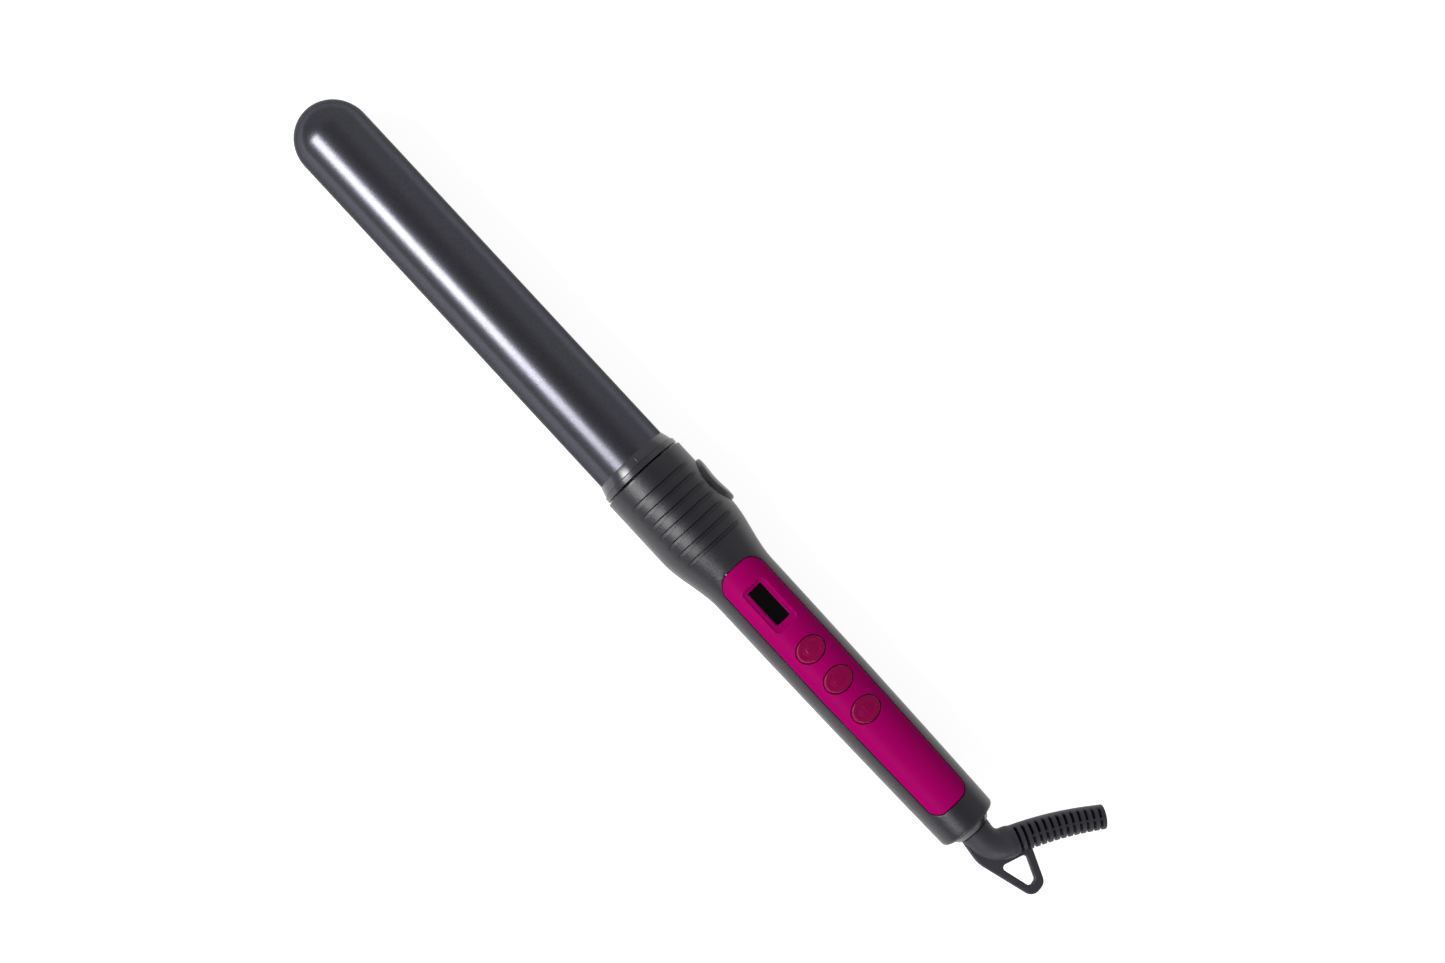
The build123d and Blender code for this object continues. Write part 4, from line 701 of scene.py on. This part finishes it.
def make_front_shell():
    """The upper shell with its finger grooves, panel pocket and half of the button's hole."""
    quarter = UNROLL * pi / 2
    outline = even_loop(
        [(NECK_FRONT, quarter), (GRIP_END, quarter), (GRIP_END, -quarter), (NECK_FRONT, -quarter)], 0.8
    )
    pocket = pocket_loop(PANEL_GAP)
    hole = release_hole(0)
    loops = [outline, pocket, pocket_loop(PANEL_GAP + FINE_LINE), pocket_loop(PANEL_GAP + EDGE_ROUND)]
    loops += [hole, release_hole(FINE_LINE), release_hole(EDGE_ROUND)]
    columns = np.linspace(-quarter, quarter, int(2 * quarter / GRID_ROUND) + 1)[1:-1]
    columns = sorted(list(columns) + [side * (quarter - d) for side in (-1, 1) for d in PART_LINE_ROWS])
    free = [(x, s) for x in shell_rows(GRIP_END, NECK_FRONT) for s in columns]
    points, faces = triangles(free, loops, [pocket, hole], SHEET_CLEAR)
    x, s = points[:, 0], points[:, 1]
    angle = s / UNROLL
    radius = outer_radius(x) - groove_drop(x, angle)
    radius -= rounding(distance_to(points, pocket), EDGE_ROUND)
    radius -= rounding(distance_to(points, hole), EDGE_ROUND)
    radius -= rounding(quarter - np.abs(s), PART_LINE_ROUND)
    make_shell("upper_shell", points, faces, radius, "front_shell")


def screw_hole(x, radius):
    """A round screw hole at -Z in the unrolled lower shell."""
    return [
        (x + radius * cos(a), UNROLL * (pi + asin(radius * sin(a) / float(outer_radius(x)))))
        for a in np.arange(48) * FULL_TURN / 48
    ]


def make_rear_shell():
    """The lower shell, plain but for the screw holes and half of the button's hole."""
    quarter = UNROLL * pi / 2
    outline = even_loop(
        [
            (NECK_FRONT, quarter),
            (GRIP_END, quarter),
            (GRIP_END, 3 * quarter),
            (NECK_FRONT, 3 * quarter),
        ],
        0.8,
    )
    turn = UNROLL * FULL_TURN
    hole = [(x, s + turn) for x, s in release_hole(0)]
    screw_x = screw_positions()
    mouths = [screw_hole(x, SCREW_MOUTH) for x in screw_x]
    loops = [outline, hole]
    loops += [[(x, s + turn) for x, s in release_hole(extra)] for extra in (FINE_LINE, EDGE_ROUND)]
    grown = [SCREW_MOUTH + SCREW_MOUTH_ROUND / 3, SCREW_MOUTH + SCREW_MOUTH_ROUND]
    loops += mouths + [screw_hole(x, radius) for x in screw_x for radius in grown]
    columns = np.linspace(quarter, 3 * quarter, int(2 * quarter / GRID_ROUND) + 1)[1:-1]
    near_lines = [quarter + d for d in PART_LINE_ROWS] + [3 * quarter - d for d in PART_LINE_ROWS]
    columns = sorted(list(columns) + near_lines)
    free = [(x, s) for x in shell_rows(GRIP_END, NECK_FRONT) for s in columns]
    points, faces = triangles(free, loops, [hole] + mouths, SHEET_CLEAR)
    x, s = points[:, 0], points[:, 1]
    radius = outer_radius(x)
    for mouth in mouths:
        radius = radius - rounding(distance_to(points, mouth), SCREW_MOUTH_ROUND)
    radius -= rounding(distance_to(points, hole), EDGE_ROUND)
    radius -= rounding(np.minimum(s - quarter, 3 * quarter - s), PART_LINE_ROUND)
    make_shell("lower_shell", points, faces, radius, "rear_shell")


def screw_positions():
    """X of each housing screw, from the loose solids of their CAD node."""
    mesh = frame["nodes"]["housing_screws"].data
    xs = sorted(vertex.co.x / MM for vertex in mesh.vertices)
    groups = [[xs[0]]]
    for x in xs[1:]:
        if x - groups[-1][-1] > SCREW_SPACING:
            groups.append([])
        groups[-1].append(x)
    return [(group[0] + group[-1]) / 2 for group in groups]


def make_ends():
    """The neck's front ring round the plug and the tail's flat end round the bush."""
    inner, outer = node_box("barrel_socket")[1][1], NECK_RADIUS
    depth, mouth_round, bush_overlap = 3.0, 0.3, 1.2
    front = [(NECK_FRONT, outer - NECK_EDGE_ROUND, 0), (NECK_FRONT, inner, mouth_round)]
    front.append((NECK_FRONT - depth, inner, 0))
    points, faces = lathe(rounded_profile(front), 160)
    make_piece("neck_front_ring", points, faces, CASE_LOOK, "handle")
    edge = float(outer_radius(GRIP_END))
    tail = [(GRIP_END, edge, 0), (GRIP_END, bush_high[1] - bush_overlap, 0)]
    points, faces = lathe(rounded_profile(tail), 160)
    make_piece("tail_end_ring", points, faces, CASE_LOOK, "handle")


# ------------------------------------------------------------------ control panel
def recess_depth(points):
    """How far the display's recess is sunk at each plan point: sloped walls, soft lip."""
    loop = box_loop(RECESS_X, 0, RECESS_LENGTH, RECESS_WIDTH, RECESS_CORNER)
    into = distance_to(points, loop) * np.where(inside(points, loop), 1, -1)
    lip = RECESS_LIP
    softened = np.where(into < -lip, 0, np.where(into > lip, into, (into + lip) ** 2 / (4 * lip)))
    return softened * RECESS_SLOPE


def make_panel():
    """The magenta panel: a curved plate with the display's recess and three button holes."""
    edge_rings = (0, 0.05, 0.14, 0.28, PANEL_EDGE_ROUND)
    outline = panel_outline(0)
    loops = [panel_outline(-ring) for ring in edge_rings]
    window = box_loop(WINDOW_X, 0, WINDOW_LENGTH + WINDOW_FIT, WINDOW_WIDTH + WINDOW_FIT, WINDOW_CORNER)
    holes = [window]
    length, width = WINDOW_LENGTH + WINDOW_RIM, WINDOW_WIDTH + WINDOW_RIM
    loops += [window, box_loop(WINDOW_X, 0, length, width, WINDOW_CORNER + WINDOW_FIT)]
    for away in RECESS_LINES:
        length, width = RECESS_LENGTH - 2 * away, RECESS_WIDTH - 2 * away
        loops.append(box_loop(RECESS_X, 0, length, width, max(0.4, RECESS_CORNER - away)))
    for name in BUTTON_NAMES:
        x = button_x(name)
        for ring in (0, 0.06, 0.15, 0.25):
            grow = BUTTON_GAP + ring
            loops.append(ellipse_loop(x, 0, BUTTON_ALONG + grow, BUTTON_ACROSS + grow, 120))
        holes.append(ellipse_loop(x, 0, BUTTON_ALONG + BUTTON_GAP, BUTTON_ACROSS + BUTTON_GAP, 120))
    free = grid(PANEL_REAR, PANEL_FRONT, -PANEL_HALF_WIDTH, PANEL_HALF_WIDTH, 1.0, 0.5)
    points, faces = triangles(free, loops, holes, 0.06)
    x, y = points[:, 0], points[:, 1]
    z = np.sqrt(outer_radius(x) ** 2 - y**2)
    z = np.maximum(np.minimum(z, RECESS_FLOOR + 0.02), z - recess_depth(points))
    z -= rounding(distance_to(points, outline), PANEL_EDGE_ROUND)
    for hole in holes:
        z -= rounding(distance_to(points, hole), BUTTON_HOLE_ROUND)
    solid = np.stack([x, y, z], 1)
    faces = outward(solid, faces, on_axis)
    nodes = ["control_panel"]
    make_piece(
        "control_plate", solid, faces, PANEL_LOOK, "handle", nodes, SMALL_SHARP, PANEL_WALL
    )


def make_window():
    """The display's black window with a fine chamfer."""
    rings = [(0, -1.2), (0, -0.12), (0.04, -0.04), (0.12, 0)]
    points = []
    for inset, rise in rings:
        loop = box_loop(WINDOW_X, 0, WINDOW_LENGTH - 2 * inset, WINDOW_WIDTH - 2 * inset, 0.25)
        points += [(x, y, RECESS_FLOOR - WINDOW_SUNK + rise) for x, y in loop]
    count = len(points) // len(rings)
    faces = strip(len(rings), count, flipped=True)
    faces.append(tuple(reversed([(len(rings) - 1) * count + i for i in range(count)])))
    make_piece(
        "window_pane", points, faces, WINDOW_LOOK, "handle", ["display_window"], 20
    )


# ------------------------------------------------------------------ buttons
def button_x(name):
    low, high = node_box(f"{name}_button")
    return (low[0] + high[0]) / 2


def mark_rise(name, along, across):
    """Height of the raised mark on a button, from 0 to 1. The mark reads across the handle."""
    stroke, soft, half_bar, far_away = 0.26, 0.16, 1.5, 9
    if name == "power":
        ring_radius, gap_start, gap_half, bar_middle, bar_half = 1.55, 0.4, 0.75, 1.35, 0.75
        ring = np.abs(np.hypot(along, across) - ring_radius)
        gap = (along > gap_start) & (np.abs(across) < gap_half)
        ring = np.where(gap, far_away, ring)
        bar = np.hypot(across, np.maximum(0, np.abs(along - bar_middle) - bar_half))
        away = np.minimum(ring, bar)
    else:
        away = np.hypot(along, np.maximum(0, np.abs(across) - half_bar))
        if name == "plus":
            away = np.minimum(away, np.hypot(across, np.maximum(0, np.abs(along) - half_bar)))
    share = np.clip((stroke + 0.12 - away) / soft, 0, 1)
    return share**2 * (3 - 2 * share)


def make_button(name):
    """An oval cap with a rounded rim, a shallow dish and a faint raised mark."""
    x0 = button_x(name)
    loops = [ellipse_loop(x0, 0, BUTTON_ALONG - i, BUTTON_ACROSS - i, 120) for i in BUTTON_LINES]
    reach_x, reach_y, step = 3.5, 4.7, BUTTON_FINE_STEP
    free = grid(x0 - reach_x - 0.1, x0 + reach_x + 0.1, -reach_y - 0.1, reach_y + 0.1, step, step)
    free = [p for p in free if hypot((p[0] - x0) / reach_x, p[1] / reach_y) < 1]
    points, faces = triangles(free, loops, [], 0.1)
    x, y = points[:, 0], points[:, 1]
    top = float(outer_radius(x0)) + BUTTON_PROUD
    from_edge = distance_to(points, loops[0])
    z = np.sqrt(top**2 - y**2) - rounding(from_edge, BUTTON_RIM)
    share = np.clip((from_edge - BUTTON_DISH_START) / BUTTON_DISH_SLOPE, 0, 1)
    z -= BUTTON_DISH * share**2 * (3 - 2 * share)
    z += MARK_HEIGHT * mark_rise(name, x - x0, y)
    solid = np.stack([x, y, z], 1)
    rim = len(solid)
    order = np.argsort(np.arctan2(solid[:, 1], solid[:, 0] - x0))
    edge = [i for i in order if from_edge[i] < 1e-4]
    skirt = solid[edge].copy()
    skirt[:, 2] -= BUTTON_SKIRT
    solid = np.vstack([solid, skirt])
    faces = [tuple(f) for f in outward(solid, faces, lambda m: (m[0], m[1], 0))]
    for i in range(len(edge)):
        j = (i + 1) % len(edge)
        faces.append((edge[i], rim + i, rim + j, edge[j]))
    body = f"{name}_button"
    make_piece(f"{name}_cap", solid, faces, BUTTON_LOOK, body, [body], SMALL_SHARP)


def make_release_button():
    """The round release button: a dome that follows the neck, with a soft rim."""
    rings = [RELEASE_RADIUS - inset for inset in RELEASE_LINES]
    loops = [ellipse_loop(RELEASE_X, 0, radius, radius, 160) for radius in rings]
    free = grid(RELEASE_X - 8, RELEASE_X + 8, -8, 8, 0.5, 0.5)
    free = [p for p in free if hypot(p[0] - RELEASE_X, p[1]) < RELEASE_RADIUS - RELEASE_INNER]
    points, faces = triangles(free, loops, [], 0.1)
    x, z = points[:, 0], points[:, 1]
    away = np.hypot(x - RELEASE_X, z)
    from_edge = np.maximum(0, RELEASE_RADIUS - away)
    y = -(np.sqrt(RELEASE_TOP**2 - z**2) - rounding(from_edge, RELEASE_ROUND))
    y += RELEASE_SAG * (away / RELEASE_RADIUS) ** 2
    dish = np.clip(1 - away / RELEASE_DISH_RADIUS, 0, 1)
    y += RELEASE_DISH * dish * dish * (3 - 2 * dish)
    solid = np.stack([x, y, z], 1)
    rim = len(solid)
    order = np.argsort(np.arctan2(solid[:, 2], solid[:, 0] - RELEASE_X))
    edge = [i for i in order if from_edge[i] < 1e-3]
    skirt = solid[edge].copy()
    skirt[:, 1] += RELEASE_SKIRT
    solid = np.vstack([solid, skirt])
    faces = [tuple(f) for f in outward(solid, faces, lambda m: (m[0], 0, m[2]))]
    for i in range(len(edge)):
        j = (i + 1) % len(edge)
        faces.append((edge[i], edge[j], rim + j, rim + i))
    body = "release_button"
    make_piece("release_cap", solid, faces, RELEASE_LOOK, body, [body], SMALL_SHARP)


# ------------------------------------------------------------------ tail
def make_bush():
    """The glossy conical ring at the tail."""
    end = bush_low[0]
    wide, narrow, lip_radius, bore = 9.8, 7.75, 7.2, 5.6
    corners = [
        (GRIP_END + 0.1, wide, 0),
        (GRIP_END - 0.15, wide, 0.1),
        (end + 0.25, narrow, 0.3),
        (end, lip_radius, 0.2),
        (end, bore, 0),
        (end + 2.0, bore, 0),
    ]
    points, faces = lathe(rounded_profile(corners), 128)
    make_piece("tail_ring", points, faces, BUSH_LOOK, "handle", ["swivel_bush"])


BOOT_START = boot_high[0]
BOOT_NECK_RADIUS = 6.7
BOOT_RADIUS = 6.3
BOOT_NECK_LENGTH = 4.3
ELBOW_RADIUS = 8.5
ELBOW_ANGLE = radians(67.5)
ELBOW_RUN = 4.4
RELIEF_BEND = radians(12)
RELIEF_ARC = 30.7
RELIEF_STRAIGHT = 6.0
RELIEF_START_RADIUS = 5.8
RELIEF_END_RADIUS = 4.85
LINER_RADIUS = 3.95
CORD_BORE = 3.35
SLOT_COUNT = 13
SLOT_PITCH = 2.79
SLOT_WIDTH = 1.35
SLOT_FIRST = 0.32
SPINE_HALF_WIDTH = 2.7
WEB_HALF_WIDTH = 0.45
WEB_SUNK = 0.35
LINER_PROUD = 0.05
WEB_ANGLES = [radians(a) for a in (92, 268)]
UNWEBBED_SLOTS = 2
SLOT_EDGE = 0.2
SLOT_LINES = (0, 0.05, 0.1, 0.15, 0.2)
RELIEF_END_ROUND = 0.4
RELIEF_END_LINES = (0.08, 0.2, 0.4, 0.8)
NECK_END_ROUND = 0.6
ELBOW_BLEND = 2.5
LINER_DEPTH = 0.4
LOOP_HALF_THICKNESS = 1.5
LOOP_ROUND = 0.75


def boot_path(length):
    """Place and heading angle on the boot's centreline, length beyond its start."""
    x, y, heading = BOOT_START, 0.0, pi
    spans = [
        (BOOT_NECK_LENGTH, 0.0),
        (ELBOW_RADIUS * ELBOW_ANGLE, ELBOW_ANGLE),
        (ELBOW_RUN, 0.0),
        (RELIEF_ARC, -RELIEF_BEND),
        (RELIEF_STRAIGHT, 0.0),
    ]
    for span, turn in spans:
        part = min(1.0, length / span) if span else 1.0
        run, bend = span * part, turn * part
        if abs(bend) > 1e-9:
            chord = 2 * run / bend * sin(bend / 2)
        else:
            chord = run
        x += chord * cos(heading + bend / 2)
        y += chord * sin(heading + bend / 2)
        heading += bend
        length -= run
        if part < 1:
            break
    return x, y, heading


def relief_radius(past):
    """Outer radius of the strain relief, past beyond its start."""
    taper = RELIEF_END_RADIUS - RELIEF_START_RADIUS
    return RELIEF_START_RADIUS + taper * past / (RELIEF_ARC + RELIEF_STRAIGHT)


def slot_floor(skin, angle):
    """Radius at the bottom of a slot: the liner, and the skin itself along the spine."""
    if cos(angle) <= 0:
        return LINER_RADIUS
    return max(LINER_RADIUS, min(skin, SPINE_HALF_WIDTH / max(1e-6, abs(sin(angle)))))


def slot_share(along, angle):
    """1 inside a slot of the strain relief, 0 on its rings and webs, soft between."""
    index = np.clip(np.round((along - SLOT_FIRST - SLOT_WIDTH / 2) / SLOT_PITCH), 0, SLOT_COUNT - 1)
    middle = SLOT_FIRST + SLOT_WIDTH / 2 + index * SLOT_PITCH
    into = SLOT_WIDTH / 2 - abs(along - middle)
    cut = np.clip(into / SLOT_EDGE, 0, 1)
    around = (RELIEF_START_RADIUS + RELIEF_END_RADIUS) / 2
    for web in WEB_ANGLES if index >= UNWEBBED_SLOTS else ():
        turn = abs((angle - web + pi) % FULL_TURN - pi)
        cut = min(cut, max(WEB_SUNK, np.clip((turn * around - WEB_HALF_WIDTH) / SLOT_EDGE, 0, 1)))
    return cut * cut * (3 - 2 * cut)


def make_boot():
    """The boot's neck, elbow and ringed strain relief as one swept skin with its bore."""
    relief_start = BOOT_NECK_LENGTH + ELBOW_RADIUS * ELBOW_ANGLE + ELBOW_RUN
    relief_length = RELIEF_ARC + RELIEF_STRAIGHT
    rows = [0.0, 0.25, 0.6] + list(np.linspace(1.0, relief_start, 44)[:-1])
    relief = {0.0, relief_length}
    for index in range(SLOT_COUNT):
        start = SLOT_FIRST + SLOT_PITCH * index
        for away in (*SLOT_LINES, SLOT_WIDTH / 2):
            relief |= {start + away, start + SLOT_WIDTH - away}
        relief |= {start - 0.12, start + SLOT_WIDTH + 0.12, start + SLOT_WIDTH + 0.6}
    relief |= {relief_length - d for d in RELIEF_END_LINES}
    rows += [relief_start + d for d in sorted(d for d in relief if 0 <= d <= relief_length)]
    segments = 144
    points = []

    def add_row(length, radius_at):
        x, y, heading = boot_path(length)
        side_x, side_y = -sin(heading), cos(heading)
        for i in range(segments):
            angle = FULL_TURN * i / segments
            radius = radius_at(angle)
            points.append(
                (x + side_x * radius * cos(angle), y + side_y * radius * cos(angle), radius * sin(angle))
            )

    count = 0
    for length in rows:
        past = length - relief_start
        if length < BOOT_NECK_LENGTH:
            share = length / BOOT_NECK_LENGTH
            skin = BOOT_NECK_RADIUS + (BOOT_RADIUS - BOOT_NECK_RADIUS) * share * share * (3 - 2 * share)
            skin -= float(rounding(length, NECK_END_ROUND)) * NECK_END_ROUND
            add_row(length, lambda angle, r=skin: r)
        elif past < 0:
            blend = np.clip((past + ELBOW_BLEND) / ELBOW_BLEND, 0, 1)
            skin = BOOT_RADIUS + (RELIEF_START_RADIUS - BOOT_RADIUS) * blend * blend * (3 - 2 * blend)
            add_row(length, lambda angle, r=skin: r)
        else:
            skin = relief_radius(past)
            skin -= float(rounding(relief_length - past, RELIEF_END_ROUND))
            add_row(
                length,
                lambda angle, r=skin, p=past: r - (r - slot_floor(r, angle)) * slot_share(p, angle),
            )
        count += 1
    total = rows[-1]
    bore_rows = ((0, CORD_BORE + 0.25), (0.08, CORD_BORE + 0.07), (0.3, CORD_BORE), (12, CORD_BORE))
    for back, radius in bore_rows:
        add_row(total - back, lambda angle, r=radius: r)
        count += 1
    faces = strip(count, segments, flipped=True)
    faces.append(tuple(reversed(range((count - 1) * segments, count * segments))))
    faces.append(tuple(range(segments)))
    make_piece("boot_skin", points, faces, BOOT_LOOK, "cord_boot", ["cord_boot"], 45)


def make_liner():
    """The cord sleeve at the bottom of the strain relief's slots; its near-black colour, darker than the
    boot's rubber, is painted shade in the slots.
    """
    relief_start = BOOT_NECK_LENGTH + ELBOW_RADIUS * ELBOW_ANGLE + ELBOW_RUN
    segments = 72
    points = []
    rows = np.linspace(relief_start - 0.4, relief_start + RELIEF_ARC + RELIEF_STRAIGHT - 1.2, 60)
    for length in rows:
        x, y, heading = boot_path(length)
        under_skin = relief_radius(max(0.0, length - relief_start)) - LINER_DEPTH
        for i in range(segments):
            angle = FULL_TURN * i / segments
            radius = slot_floor(under_skin, angle) + LINER_PROUD
            side = radius * cos(angle)
            points.append((x - sin(heading) * side, y + cos(heading) * side, radius * sin(angle)))
    faces = strip(len(rows), segments, flipped=True)
    make_piece("relief_liner", points, faces, LINER_PAINTED_SHADE_LOOK, "cord_boot")


def boot_plan(out, side):
    """A point of the boot's flat plan: out beyond the handle, side towards -Y."""
    return (BOOT_START - out, -side)


def make_loop():
    """The flat hanging loop: a strap with rounded edges round a three-cornered eye."""
    outer = [
        (*boot_plan(0.5, -6.6), 0.5),
        (*boot_plan(10.5, -7.9), 14),
        (*boot_plan(34.8, -1.0), 4.2),
        (*boot_plan(34.0, 6.3), 4.2),
        (*boot_plan(22.8, 11.2), 1),
        (*boot_plan(18.0, 13.2), 0.5),
        (*boot_plan(12.0, 4.0), 0.5),
        (*boot_plan(2.0, 0), 0.5),
    ]
    eye = [
        (*boot_plan(17.3, -2.6), 1.4),
        (*boot_plan(30.9, 1.1), 1.4),
        (*boot_plan(30.1, 4.3), 1.4),
        (*boot_plan(20.7, 8.4), 1.4),
    ]
    outer_loop = even_loop(rounded_loop(outer), 0.4)
    eye_loop = even_loop(rounded_loop(eye), 0.3)
    free = grid(BOOT_START - 34, BOOT_START, -15, 7.5, 0.3, 0.3)
    points, faces = triangles(free, [outer_loop, eye_loop], [eye_loop], 0.1)
    from_edge = np.minimum(distance_to(points, outer_loop), distance_to(points, eye_loop))
    height = LOOP_HALF_THICKNESS - rounding(from_edge, LOOP_ROUND)
    top = np.column_stack([points, height])
    under = np.column_stack([points, -height])
    count = len(points)
    up = outward(top, faces, lambda m: (m[0], m[1], -100))
    all_faces = [tuple(f) for f in up] + [tuple(count + i for i in reversed(f)) for f in up]
    solid = np.vstack([top, under])
    edge_of = {}
    for face in up:
        for a, b in zip(face, np.roll(face, -1)):
            edge_of[(a, b)] = edge_of.get((a, b), 0) + 1
    for a, b in edge_of:
        if (b, a) not in edge_of:
            all_faces.append((b, a, count + a, count + b))
    make_piece("hanging_loop", solid, all_faces, BOOT_LOOK, "cord_boot", sharp=60)


make_barrel()
make_collar()
make_tick()
make_front_shell()
make_rear_shell()
make_ends()
make_panel()
make_window()
for button_name in BUTTON_NAMES:
    make_button(button_name)
make_release_button()
make_bush()
make_boot()
make_liner()
make_loop()


# ------------------------------------------------------------------ stage, light, camera
SENSOR_WIDTH = 36
FLOOR_GAP = 0.0004
FLOOR_GLOW = 0.86


def make_stage():
    """A pale floor that the wand lies on."""
    size = 3.0
    drop = cad_box[0][2] - FLOOR_GAP
    corners = [(-size, -size, drop), (size, -size, drop), (size, size, drop), (-size, size, drop)]
    mesh = bpy.data.meshes.new("floor")
    mesh.from_pydata(corners, [], [(0, 1, 2, 3)])
    material, tree, surface, place = shader("floor_look")
    tone = remap(tree, noise(tree, place, 3, 2), 0.3, 0.7, 0, 1)
    colour = blend_colours(tree, tone, (0.34, 0.34, 0.34), (0.37, 0.37, 0.37))
    tree.links.new(colour, surface.inputs["Base Color"])
    surface.inputs["Roughness"].default_value = 0.9
    surface.inputs["Specular IOR Level"].default_value = 0.1
    surface.inputs["Emission Color"].default_value = (1, 1, 1, 1)
    surface.inputs["Emission Strength"].default_value = FLOOR_GLOW
    mesh.materials.append(material)
    floor = bpy.data.objects.new("floor", mesh)
    bpy.context.scene.collection.objects.link(floor)


def area_light(name, place, target, size_x, size_y, power):
    """A rectangular softbox at place, facing target."""
    light = bpy.data.lights.new(name, "AREA")
    light.shape = "RECTANGLE"
    light.size, light.size_y = size_x, size_y
    light.energy = power
    lamp = bpy.data.objects.new(name, light)
    bpy.context.scene.collection.objects.link(lamp)
    facing = (Vector(target) - Vector(place)).normalized()
    across = Vector((1, 0, 0))
    up = across.cross(facing).normalized()
    across = facing.cross(up).normalized()
    turn = Matrix((across, up, -facing)).transposed().to_4x4()
    lamp.matrix_world = Matrix.Translation(place) @ turn


def make_lights():
    world = bpy.data.worlds.new("studio")
    bpy.context.scene.world = world
    world.use_nodes = True
    tree = world.node_tree
    sky = tree.nodes.new("ShaderNodeTexCoord")
    split = tree.nodes.new("ShaderNodeSeparateXYZ")
    tree.links.new(sky.outputs["Generated"], split.inputs["Vector"])
    height = remap(tree, split.outputs["Z"], 0.7, 1.0, 0, 1)
    side = remap(tree, split.outputs["Y"], -0.5, 0.5, 0, 1)
    horizon = blend_colours(tree, side, (0.64, 0.64, 0.66), (0.36, 0.36, 0.38))
    colour = blend_colours(tree, height, horizon, (0.2, 0.2, 0.2))
    tree.links.new(colour, tree.nodes["Background"].inputs["Color"])
    area_light("key_strip", (0.36, 0.59, 0.60), (0.10, 0.0, 0.0), 0.40, 0.34, 9.0)
    area_light("fill_strip", (-0.14, 0.59, 0.60), (-0.08, 0.0, 0.0), 0.60, 0.34, 4.6)
    area_light("tail_light", (-0.60, 0.26, 0.17), (-0.02, 0.0, 0.0), 0.12, 0.12, 0.8)


def make_camera():
    """Perspective camera over the panel's side, turned so that the wand runs down to the right."""
    place = Vector((-0.0538, 0.05644, 0.643))
    target = Vector((-0.0304, -0.02086, 0.0))
    up_hint = Vector((0.7320, -0.6814, 0.0))
    frame_width = 0.573
    facing = (target - place).normalized()
    right = facing.cross(up_hint).normalized()
    up = right.cross(facing).normalized()
    data = bpy.data.cameras.new("camera")
    data.sensor_width = SENSOR_WIDTH
    data.lens = SENSOR_WIDTH * (target - place).length / frame_width
    camera = bpy.data.objects.new("camera", data)
    bpy.context.scene.collection.objects.link(camera)
    camera.matrix_world = Matrix.Translation(place) @ Matrix((right, up, -facing)).transposed().to_4x4()
    bpy.context.scene.camera = camera


make_stage()
make_lights()
make_camera()
bpy.context.scene.view_settings.view_transform = "Standard"
